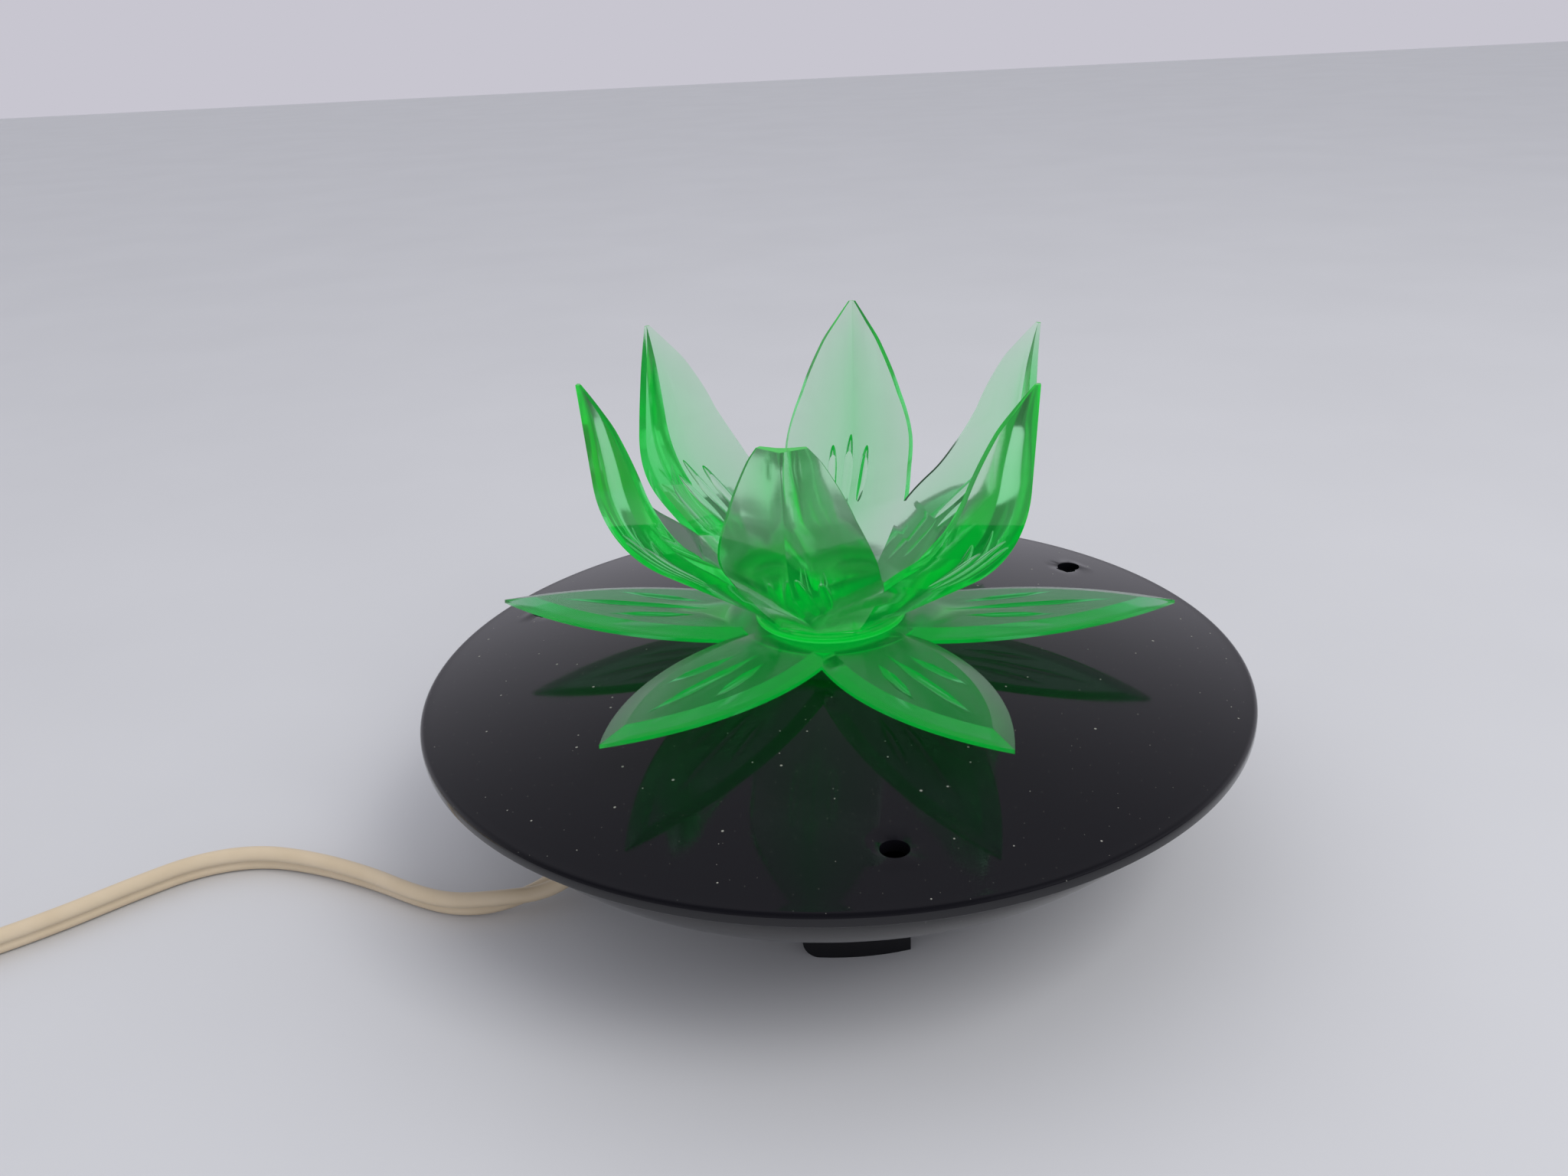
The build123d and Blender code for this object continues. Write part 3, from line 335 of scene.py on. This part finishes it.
flex = {
    "width": 6.0 * mm,
    "thick": 3.0 * mm,
    "web": 1.5 * mm,
    "lobeSteps": 14,
}
lampExit = {
    "angle": radians(-156.0),
    "slope": radians(30.0),
    "radius": 46.0 * mm,
    "height": 12.6 * mm,
    "mouth": 12.7 * mm,
    "straight": 5 * mm,
}
freeRoute = [
    (-0.0654, -0.0282, 0.0033),
    (-0.0739, -0.0283, 0.0030),
    (-0.0820, -0.0251, 0.00305),
    (-0.0924, -0.0188, 0.0030),
    (-0.1056, -0.0130, 0.0031),
    (-0.1185, -0.0097, 0.0030),
    (-0.1303, -0.0125, 0.00305),
    (-0.1403, -0.0203, 0.0030),
    (-0.1503, -0.0296, 0.0031),
    (-0.1622, -0.0380, 0.0030),
    (-0.1710, -0.0438, 0.0034),
    (-0.1830, -0.0480, 0.0070),
    (-0.1970, -0.0480, 0.0070),
]
leadRoute = [
    (-0.2450, -0.0480, 0.0070),
    (-0.2590, -0.0480, 0.0070),
    (-0.2710, -0.0460, 0.0035),
    (-0.2835, -0.0397, 0.0030),
    (-0.2948, -0.0288, 0.00305),
    (-0.3020, -0.0150, 0.0030),
]
tailRoute = [
    (-0.3049, 0.0340, 0.0089),
    (-0.3048, 0.0413, 0.0076),
    (-0.3045, 0.0490, 0.00685),
    (-0.3045, 0.0570, 0.00685),
]
coil = {
    "centre": (-0.262, 0.012),
    "outer": 42.0 * mm,
    "pitch": 6.6 * mm,
    "turnsEach": 2.75,
    "pointsPerTurn": 16,
    "runIn": (17 * mm, 6 * mm),
    "runOut": (6 * mm, 14 * mm),
}


def exitPoint(along):
    reach = lampExit["radius"] + along * cos(lampExit["slope"])
    height = lampExit["height"] - along * sin(lampExit["slope"])
    return (reach * cos(lampExit["angle"]), reach * sin(lampExit["angle"]), height)


def coilPoint(angle):
    spiral = 2 * pi * coil["turnsEach"]
    step = coil["pitch"] / (2 * pi)
    climb = min(max(angle - spiral, 0.0), pi)
    inwards = min(angle, spiral) + sin(climb) if angle < spiral + pi else 2 * spiral + pi - angle
    radius = coil["outer"] - step * inwards
    height = flex["width"] / 2 + coil["pitch"] * (1 - cos(climb)) / 2
    around = pi - angle
    x, y = coil["centre"]
    return Vector((x + radius * cos(around), y + radius * sin(around), height))


# the figure-of-eight section: two round lobes joined by a web
def makeFlexProfile():
    lobe = flex["thick"] / 2
    offset = flex["width"] / 2 - lobe
    reach = pi - asin(flex["web"] / 2 / lobe)
    outline = bpy.data.curves.new("flexSection", "CURVE")
    outline.dimensions = "2D"
    spline = outline.splines.new("POLY")
    steps = flex["lobeSteps"]
    turns = [reach * (2 * i / steps - 1) for i in range(steps + 1)]
    places = [(offset + lobe * cos(a), lobe * sin(a)) for a in turns]
    places += [(-offset - lobe * cos(a), -lobe * sin(a)) for a in turns]
    spline.points.add(len(places) - 1)
    for point, (x, y) in zip(spline.points, places):
        point.co = (x, y, 0, 1)
    spline.use_cyclic_u = True
    section = bpy.data.objects.new("flexSection", outline)
    bpy.context.scene.collection.objects.link(section)
    section.hide_render = True
    section.hide_viewport = True
    return section


def makeFlex(name, route, rolls, section):
    curve = bpy.data.curves.new(name, "CURVE")
    curve.dimensions = "3D"
    curve.twist_mode = "Z_UP"
    spline = curve.splines.new("NURBS")
    spline.points.add(len(route) - 1)
    for point, place, roll in zip(spline.points, route, rolls):
        point.co = (*place, 1)
        point.tilt = radians(roll)
    spline.order_u = 3
    spline.use_endpoint_u = True
    spline.resolution_u = 8
    curve.bevel_mode = "OBJECT"
    curve.bevel_object = section
    curve.use_fill_caps = True
    return curve


flexSection = makeFlexProfile()
freePoints = [exitPoint(lampExit["mouth"]), exitPoint(lampExit["mouth"] + lampExit["straight"])] + freeRoute
freeRolls = [0, 8] + [62] * 3 + [66] * 7 + [40, 0, 0]  # degrees about the cord at each point
freeCord = addPiece(makeFlex("flexLampToSwitch", freePoints, freeRolls, flexSection),
                    "flexLampToSwitch", creamFlex, ["cord_free"])

coilTurns = 2 * coil["turnsEach"] + 0.5
coilEnd = 2 * pi * coilTurns
coilCount = round(coilTurns * coil["pointsPerTurn"])
coilPoints = [coilPoint(coilEnd * i / coilCount) for i in range(coilCount + 1)]
coilIn = (coilPoints[0] - coilPoints[1]).normalized()
coilOut = (coilPoints[-1] - coilPoints[-2]).normalized()
storedPoints = leadRoute + [coilPoints[0] + coilIn * run for run in coil["runIn"]] + coilPoints
storedPoints += [coilPoints[-1] + coilOut * run for run in coil["runOut"]] + tailRoute
storedRolls = [0, 0, 40, 80] + [90] * (len(storedPoints) - 9) + [70, 40, 15, 0, 0]
storedCord = addPiece(makeFlex("flexSwitchToPlug", storedPoints, storedRolls, flexSection),
                      "flexSwitchToPlug", creamFlex, ["cord_lead", "cord_coil", "cord_tail"])
print("cords laid")


# Lid: one turned moulding with three vents, screw bosses and a locating rib

lid = {
    "radius": 80.0 * mm,
    "apex": 44.4 * mm,
    "dome": 7.4 * mm,
    "wall": 2.2 * mm,
    "rimWidth": 2.4 * mm,
    "rimLow": 34.8 * mm,
    "shoulder": 1.0 * mm,
    "hole": 9.5 * mm,
    "vents": 3,
    "ventRadius": 2.4 * mm,
    "ventCircle": 67.3 * mm,
    "ventAngle": -82.8,
    "ventPatch": 4.6 * mm,
    "bosses": 3,
    "bossCircle": 58.0 * mm,
    "bossAngle": -22.8,
    "bossRadius": 4.0 * mm,
    "bossBore": 1.5 * mm,
    "bossLow": 33.63 * mm,
    "ribOuter": 72.9 * mm,
    "ribWall": 1.6 * mm,
    "ribLow": 33.06 * mm,
    "rimRound": 0.4 * mm,
    "ventRound": 0.15 * mm,
    "domeSteps": 44,
    "shoulderSteps": 8,
    "steps": 180,
    "ribSteps": 96,
    "ventSteps": 32,
}
domeRadius = (lid["radius"] ** 2 + lid["dome"] ** 2) / (2 * lid["dome"])
domeCentre = lid["apex"] - domeRadius


def domeHeight(radius, depth=0.0):
    return domeCentre + sqrt((domeRadius - depth) ** 2 - radius ** 2)


# opens a round hole through both skins of the lid
def cutVent(bm, centre, patch):
    near = [f for f in bm.faces if (f.calc_center_median() - centre).length < patch]
    bmesh.ops.delete(bm, geom=near, context="FACES")
    rimEdges = [e for e in bm.edges if e.is_boundary and (e.verts[0].co - centre).length < 3 * patch]
    upper = [e for e in rimEdges if e.verts[0].co.z > centre.z]
    lower = [e for e in rimEdges if e.verts[0].co.z <= centre.z]
    rings = []
    for skin, depth in ((upper, 0.0), (lower, lid["wall"])):
        height = domeHeight(lid["ventCircle"], depth)
        ring = bmesh.ops.create_circle(bm, cap_ends=False, segments=lid["ventSteps"],
                                       radius=lid["ventRadius"],
                                       matrix=Matrix.Translation((centre.x, centre.y, height)))
        edges = edgesOf(ring["verts"])
        bmesh.ops.bridge_loops(bm, edges=skin + edges)
        rings.append(edges)
    bmesh.ops.bridge_loops(bm, edges=rings[0] + rings[1])


def makeLid():
    bm = bmesh.new()
    outer = lid["radius"] - lid["shoulder"]
    inner = lid["radius"] - lid["rimWidth"]
    first = bm.verts.new((lid["hole"], 0, domeHeight(lid["hole"])))
    sweep = asin(outer / domeRadius) - asin(lid["hole"] / domeRadius)
    last = spinVert(bm, first, (0, 0, domeCentre), sweep, lid["domeSteps"])
    last = spinVert(bm, last, (outer, 0, domeHeight(outer) - lid["shoulder"]), pi / 2, lid["shoulderSteps"])
    last = pullVert(bm, last, (lid["radius"], 0, lid["rimLow"]))
    last = pullVert(bm, last, (inner, 0, lid["rimLow"]))
    last = pullVert(bm, last, (inner, 0, domeHeight(inner, lid["wall"])))
    back = asin(inner / (domeRadius - lid["wall"])) - asin(lid["hole"] / (domeRadius - lid["wall"]))
    last = spinVert(bm, last, (0, 0, domeCentre), -back, lid["domeSteps"])
    bm.edges.new((last, first))
    corners = [v for v in bm.verts if len(v.link_edges) == 2 and v is not first and v is not last
               and v.link_edges[0].calc_length() > 0.5 * mm and abs(v.co.z - lid["rimLow"]) < 0.01 * mm]
    bmesh.ops.bevel(bm, geom=corners, offset=lid["rimRound"], offset_type="OFFSET", affect="VERTICES",
                    segments=3, profile=0.5, material=-1)
    spinProfile(bm, list(bm.edges), lid["steps"])
    for i in range(lid["vents"]):
        place = aboutAxis(lid["ventAngle"] + 360 / lid["vents"] * i) @ Vector((lid["ventCircle"], 0, 0))
        place.z = domeHeight(lid["ventCircle"], lid["wall"] / 2)
        cutVent(bm, place, lid["ventPatch"])
    bmesh.ops.recalc_face_normals(bm, faces=bm.faces)
    roundEdges(bm, lid["ventRound"], sharp=60.0)
    return bm


# a short turned tube with square ends, for ribs and bosses
def addTube(bm, outer, inner, low, high, place, steps=48):
    rings = []
    for radius, height in ((outer, low), (outer, high), (inner, high), (inner, low)):
        ring = bmesh.ops.create_circle(bm, cap_ends=False, segments=steps, radius=radius,
                                       matrix=place @ Matrix.Translation((0, 0, height)))
        rings.append(edgesOf(ring["verts"]))
    for a, b in zip(rings, rings[1:] + rings[:1]):
        bmesh.ops.bridge_loops(bm, edges=a + b)


lidMesh = makeLid()
addTube(lidMesh, lid["ribOuter"], lid["ribOuter"] - lid["ribWall"], lid["ribLow"],
        domeHeight(lid["ribOuter"], lid["wall"] / 2), Matrix.Identity(4), lid["ribSteps"])
for i in range(lid["bosses"]):
    addTube(lidMesh, lid["bossRadius"], lid["bossBore"], lid["bossLow"],
            domeHeight(lid["bossCircle"] + lid["bossRadius"], lid["wall"] / 2),
            aboutAxis(lid["bossAngle"] + 360 / lid["bosses"] * i)
            @ Matrix.Translation((lid["bossCircle"], 0, 0)))
addPiece(lidMesh, "domedLid", glossBlack, ["lid"])
print("lid turned")


# Upper petals: six keeled cups of one moulding, each on a keel that runs out and bends up, on a collar

cup = {
    "angle": -98.9,
    "petals": 6,
    "keelRadius": 14.0 * mm,
    "keelHeight": 50.5 * mm,
    "slope": radians(33.0),
    "straight": 22.0 * mm,
    "bend": 25.0 * mm,
    "topSlope": radians(86.5),
    "top": 18.2 * mm,
    "floorShare": 0.2,
    "floorFill": 0.34,
    "rings": 60,
    "frontTop": 95.5 * mm,
    "rootLow": 50.6 * mm,
}
cup["turn"] = 360 / cup["petals"]
cup["keelBend"] = cup["bend"] * (cup["topSlope"] - cup["slope"])
cup["keel"] = cup["straight"] + cup["keelBend"] + cup["top"]
cup["stations"] = [  # distance along the keel, half width, depth, edge
    (-1.5 * mm, 8.0 * mm, 0.6 * mm, 1.5 * mm),
    (5.9 * mm, 10.9 * mm, 3.0 * mm, 1.5 * mm),
    (10.2 * mm, 12.3 * mm, 4.6 * mm, 1.5 * mm),
    (14.6 * mm, 13.2 * mm, 6.0 * mm, 1.5 * mm),
    (22.0 * mm, 13.4 * mm, 6.8 * mm, 1.5 * mm),
    (33.7 * mm, 13.2 * mm, 6.8 * mm, 1.5 * mm),
    (45.4 * mm, 10.6 * mm, 5.8 * mm, 1.4 * mm),
    (55.4 * mm, 6.3 * mm, 3.7 * mm, 1.2 * mm),
    (60.2 * mm, 3.1 * mm, 1.9 * mm, 0.9 * mm),
    (cup["keel"], 0.7 * mm, 0.5 * mm, 0.5 * mm),
]
cupGrooves = {
    "along": 22.0 * mm,
    "radius": 1.0 * mm,
    "across": 3.2 * mm,
    "spread": radians(4.0),
    "length": 21.0 * mm,
    "sideLength": 15.0 * mm,
}
collar = {
    "profile": [(0.0, 44.4), (6.9, 44.4), (6.9, 48.8), (14.6, 48.8), (14.6, 50.0), (12.8, 50.0),
                (12.8, 50.5), (13.8, 50.5), (13.8, 51.9), (0.0, 51.9)],  # radius, height in millimetres
    "round": 0.22 * mm,
    "roundFrom": 10 * mm,
    "steps": 96,
}


# the frame across a petal at a distance along its keel: X across, Y into the cup, Z onwards
def keelPlace(s):
    run = min(s, cup["straight"])
    bend = min(max(s - cup["straight"], 0.0), cup["keelBend"]) / cup["bend"]
    rest = max(s - cup["straight"] - cup["keelBend"], 0.0)
    start, slope = cup["slope"], cup["slope"] + bend
    out = cup["keelRadius"] + run * cos(start) + cup["bend"] * (sin(slope) - sin(start)) + rest * cos(slope)
    up = cup["keelHeight"] + run * sin(start) + cup["bend"] * (cos(start) - cos(slope)) + rest * sin(slope)
    turn = Matrix(((0, 1, 0), (-sin(slope), 0, cos(slope)), (cos(slope), 0, sin(slope)))).transposed()
    return Matrix.Translation((out, 0, up)) @ turn.to_4x4()


# half width, depth and edge there, on a smooth curve through the stations
def stationAt(s):
    rows = cup["stations"]
    i = min(sum(1 for row in rows if row[0] <= s), len(rows) - 1) - 1
    a, b = rows[i], rows[i + 1]
    before, after = rows[max(i - 1, 0)], rows[min(i + 2, len(rows) - 1)]
    span = b[0] - a[0]
    t = (s - a[0]) / span
    values = []
    for k in (1, 2, 3):
        leaving = span * (b[k] - before[k]) / (b[0] - before[0])
        coming = span * (after[k] - a[k]) / (after[0] - a[0])
        values.append((2 * t ** 3 - 3 * t ** 2 + 1) * a[k] + (t ** 3 - 2 * t ** 2 + t) * leaving
                      + (3 * t ** 2 - 2 * t ** 3) * b[k] + (t ** 3 - t ** 2) * coming)
    return values


def floorHeight(half, deep, edge):
    lean = atan(deep / half)
    parallel = deep + edge * cos(lean) - (half - edge * sin(lean) - cup["floorShare"] * half) * tan(lean)
    return parallel + cup["floorFill"] * deep


# the section's seven corners: keel, then edge, inner edge and floor on each side
def petalRing(s):
    half, deep, edge = stationAt(s)
    lean = atan(deep / half)
    side = [(half, deep), (half - edge * sin(lean), deep + edge * cos(lean)),
            (cup["floorShare"] * half, floorHeight(half, deep, edge))]
    corners = [(0, 0)] + side + [(-x, y) for x, y in reversed(side)]
    return [keelPlace(s) @ Vector((x, y, 0)) for x, y in corners]


# cuts away what lies beyond a plane; returns the edges along the cut
def cutAway(bm, place, outwards):
    made = bmesh.ops.bisect_plane(bm, geom=bm.verts[:] + bm.edges[:] + bm.faces[:], dist=0.0001 * mm,
                                  plane_co=place, plane_no=outwards, clear_outer=True)
    return [g for g in made["geom_cut"] if isinstance(g, bmesh.types.BMEdge)]


# a petal along +X, extruded ring by ring and cut to its sixth of a turn, open where it meets the next
def makePetal(top=None):
    bm = bmesh.new()
    root = cup["stations"][0][0]
    step = (cup["keel"] - root) / cup["rings"]
    ring = [bm.verts.new(place) for place in petalRing(root)]
    edges = [bm.edges.new(pair) for pair in zip(ring, ring[1:] + ring[:1])]
    for i in range(cup["rings"]):
        made = bmesh.ops.extrude_edge_only(bm, edges=edges)["geom"]
        fresh = {g for g in made if isinstance(g, bmesh.types.BMVert)}
        ring = [next(e.other_vert(v) for e in v.link_edges if e.other_vert(v) in fresh) for v in ring]
        for vert, place in zip(ring, petalRing(root + step * (i + 1))):
            vert.co = place
        edges = [bm.edges.get(pair) for pair in zip(ring, ring[1:] + ring[:1])]
    bmesh.ops.contextual_create(bm, geom=edges)
    sixth = radians(cup["turn"] / 2)
    for side in (-1, 1):
        cutAway(bm, (0, 0, 0), (-sin(sixth), side * cos(sixth), 0))
    cutAway(bm, (0, 0, cup["rootLow"]), (0, 0, -1))
    if top:
        bmesh.ops.contextual_create(bm, geom=cutAway(bm, (0, 0, top), (0, 0, 1)))
    return bm


# lens-shaped cutters, three to a petal
def makeGrooves():
    bm = bmesh.new()
    half, deep, edge = stationAt(cupGrooves["along"])
    for i in range(cup["petals"]):
        for side in (-1, 0, 1):
            place = keelPlace(cupGrooves["along"]) @ Matrix.Translation(
                (side * cupGrooves["across"], floorHeight(half, deep, edge), 0))
            length = cupGrooves["sideLength"] if side else cupGrooves["length"]
            size = Matrix.Diagonal((cupGrooves["radius"], cupGrooves["radius"], length / 2, 1))
            turn = Matrix.Rotation(side * cupGrooves["spread"], 4, "Y")
            bmesh.ops.create_uvsphere(bm, u_segments=24, v_segments=32, radius=1.0,
                                      matrix=aboutAxis(cup["angle"] + cup["turn"] * i) @ place @ turn @ size)
    return bm


def makeCollar():
    bm = bmesh.new()
    verts = [bm.verts.new((r * mm, 0, z * mm)) for r, z in collar["profile"]]
    for pair in zip(verts, verts[1:]):
        bm.edges.new(pair)
    corners = [v for v in verts if v.co.x > collar["roundFrom"]]
    bmesh.ops.bevel(bm, geom=corners, offset=collar["round"], offset_type="OFFSET", affect="VERTICES",
                    segments=3, profile=0.5, material=-1)
    spinProfile(bm, list(bm.edges), collar["steps"])
    bmesh.ops.remove_doubles(bm, verts=bm.verts, dist=0.001 * mm)
    bmesh.ops.recalc_face_normals(bm, faces=bm.faces)
    return bm


def makeCup():
    petals = bmesh.new()
    for i in range(cup["petals"]):
        petal = makePetal(None if i else cup["frontTop"])
        addCopy(petals, petal, aboutAxis(cup["angle"] + cup["turn"] * i))
        petal.free()
    bmesh.ops.remove_doubles(petals, verts=petals.verts, dist=0.002 * mm)
    bmesh.ops.bridge_loops(petals, edges=[e for e in petals.edges if e.is_boundary])
    bmesh.ops.recalc_face_normals(petals, faces=petals.faces)
    print("petals joined, open edges:", sum(1 for e in petals.edges if not e.is_manifold))
    whole = combine(petals, makeCollar(), "UNION")
    return combine(whole, makeGrooves(), "DIFFERENCE")


addPiece(makeCup(), "upperPetals", cupAcrylic, ["upper_petals"], sharp=22.0)
print("upper petals moulded")


# Pieces whose CAD shape is right keep it: the first few get merged triangles, with slightly rounded edges
# where a width is given, and every one gets its material

rounded = {  # name, material, slot, width of the rounded edges, whether flat faces are joined first
    "lower_petals": ("lowerPetals", leafAcrylic, "green_acrylic", 0.18 * mm, True),
    "base_bowl": ("baseBowl", glossBlack, "black_gloss", 0.0, False),
    "switch_bottom": ("switchBottom", creamCase, "cream_moulded", 0.0, False),
    "switch_top": ("switchTop", creamCase, "cream_moulded", 0.0, False),
    "plug_body": ("plugBody", creamCase, "cream_moulded", 0.0, False),
}
for node, (name, material, slot, width, flatten) in rounded.items():
    shape = mergedNode(node, flatten)
    if width:
        roundEdges(shape, width, sharp=18.0)
    addPiece(shape, name, material, [node], sharp=22.0)

carried = {
    "lid_screws": zincSteel, "strap_screws": zincSteel, "holder_strap": zincSteel,
    "clamp_screws": zincSteel, "switch_screws": zincSteel, "flower_ring": springSteel,
    "lampholder_body": whitePhenolic, "lampholder_shell": nickelBrass, "bulb_cap": nickelBrass,
    "plug_pins": nickelBrass, "lampholder_contact": plainBrass, "terminal_screws": plainBrass,
    "switch_bridge": plainBrass, "switch_terminals": plainBrass, "bulb_glass": clearGlass,
    "bulb_stem": clearGlass, "bulb_filament": filamentSteel, "bulb_contact": bulbBlack,
    "cord_grommet": blackRubber, "cord_clamp": blackMoulding, "cord_inside": creamFlex,
    "cord_cores": coreCover, "switch_rocker": creamRocker,
}
for node, material in carried.items():
    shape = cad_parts[node].data
    shape.materials.clear()
    shape.materials.append(material)
print("pieces dressed")


# Studio: a plain pale floor, a soft even sky and one window light. Gloss and clear plastic also show
# a dimmer ceiling, a dimmer room and a glint, which the camera doesn't see behind the lamp

studio = {
    "wallColour": "#c8c6d0",
    "ceilingShade": 0.45,
    "ceilingFrom": 0.2,
    "ceilingTo": 0.75,
    "roomShade": 0.3,
    "roomFrom": -0.25,
    "roomTo": 0.45,
    "floorSize": 6.0,
    "skyColour": "#fbfaff",
    "skyStrength": 0.72,
    "windowColour": "#fffdf8",
    "windowPower": 5.0,
    "windowSize": 0.6,
    "windowPlace": (0.55, -0.55, 0.95),
    "glintPlace": (0.75, -0.35, 0.55),
    "glintSpread": (0.86, 0.99),
    "glintStrength": 2.2,
}


def addFloor():
    bm = bmesh.new()
    bmesh.ops.create_grid(bm, x_segments=2, y_segments=2, size=studio["floorSize"] / 2)
    sheet = bpy.data.meshes.new("floor")
    bm.to_mesh(sheet)
    bm.free()
    material, tree, shader = newMaterial("paleFloor", {"Roughness": 0.6, "Specular IOR Level": 0.2})
    addMottle(tree, shader, "#d5d7dc", "#d8dadf", 90 * mm)
    sheet.materials.append(material)
    floor = bpy.data.objects.new("floor", sheet)
    bpy.context.scene.collection.objects.link(floor)


def addSky():
    world = bpy.data.worlds.new("softSky")
    bpy.context.scene.world = world
    world.use_nodes = True
    tree = world.node_tree
    tree.nodes.clear()
    ray = addNode(tree, "ShaderNodeLightPath")
    seen = ray.outputs["Is Camera Ray"]
    for name in ("Is Glossy Ray", "Is Transmission Ray"):
        either = addNode(tree, "ShaderNodeMath", {0: seen, 1: ray.outputs[name]}, operation="MAXIMUM")
        seen = either.outputs[0]
    towards = addNode(tree, "ShaderNodeTexCoord").outputs["Generated"]
    facing = addNode(tree, "ShaderNodeVectorMath", {
        0: towards, 1: Vector(studio["glintPlace"]).normalized()}, operation="DOT_PRODUCT")
    faint, full = studio["glintSpread"]
    patch = addNode(tree, "ShaderNodeMapRange", {
        "Value": facing.outputs["Value"], "From Min": faint, "From Max": full,
        "To Min": 1.0, "To Max": studio["glintStrength"]}, interpolation_type="SMOOTHSTEP")
    direction = addNode(tree, "ShaderNodeSeparateXYZ", {"Vector": towards})
    fade = addNode(tree, "ShaderNodeMapRange", {
        "Value": direction.outputs["Z"], "From Min": studio["ceilingFrom"], "From Max": studio["ceilingTo"],
        "To Min": 1.0, "To Max": studio["ceilingShade"]}, interpolation_type="SMOOTHSTEP")
    room = addNode(tree, "ShaderNodeMapRange", {
        "Value": direction.outputs["Y"], "From Min": studio["roomFrom"], "From Max": studio["roomTo"],
        "To Min": studio["roomShade"], "To Max": 1.0}, interpolation_type="SMOOTHSTEP")
    shade = addNode(tree, "ShaderNodeMath", {0: room.outputs["Result"], 1: fade.outputs["Result"]},
                    operation="MULTIPLY")
    mirrored = addNode(tree, "ShaderNodeMath", {0: patch.outputs["Result"], 1: shade.outputs[0]},
                       operation="MULTIPLY")
    strength = addNode(tree, "ShaderNodeMix", {
        0: ray.outputs["Is Camera Ray"], 2: mirrored.outputs[0], 3: 1.0})
    wall = addNode(tree, "ShaderNodeBackground", {
        "Color": toLinear(studio["wallColour"]), "Strength": strength.outputs[0]})
    light = addNode(tree, "ShaderNodeBackground", {
        "Color": toLinear(studio["skyColour"]), "Strength": studio["skyStrength"]})
    mix = addNode(tree, "ShaderNodeMixShader", {0: seen, 1: light.outputs[0], 2: wall.outputs[0]})
    addNode(tree, "ShaderNodeOutputWorld", {"Surface": mix.outputs[0]})


def addWindow():
    light = bpy.data.lights.new("window", "AREA")
    light.shape = "SQUARE"
    light.size = studio["windowSize"]
    light.energy = studio["windowPower"]
    light.color = toLinear(studio["windowColour"])[:3]
    lamp = bpy.data.objects.new("window", light)
    lamp.visible_glossy = False
    lamp.visible_transmission = False
    place = Vector(studio["windowPlace"])
    lamp.matrix_world = Matrix.Translation(place) @ place.to_track_quat("Z", "Y").to_matrix().to_4x4()
    bpy.context.scene.collection.objects.link(lamp)


addFloor()
addSky()
addWindow()
bpy.context.scene.view_settings.view_transform = "Standard"
print("studio lit")
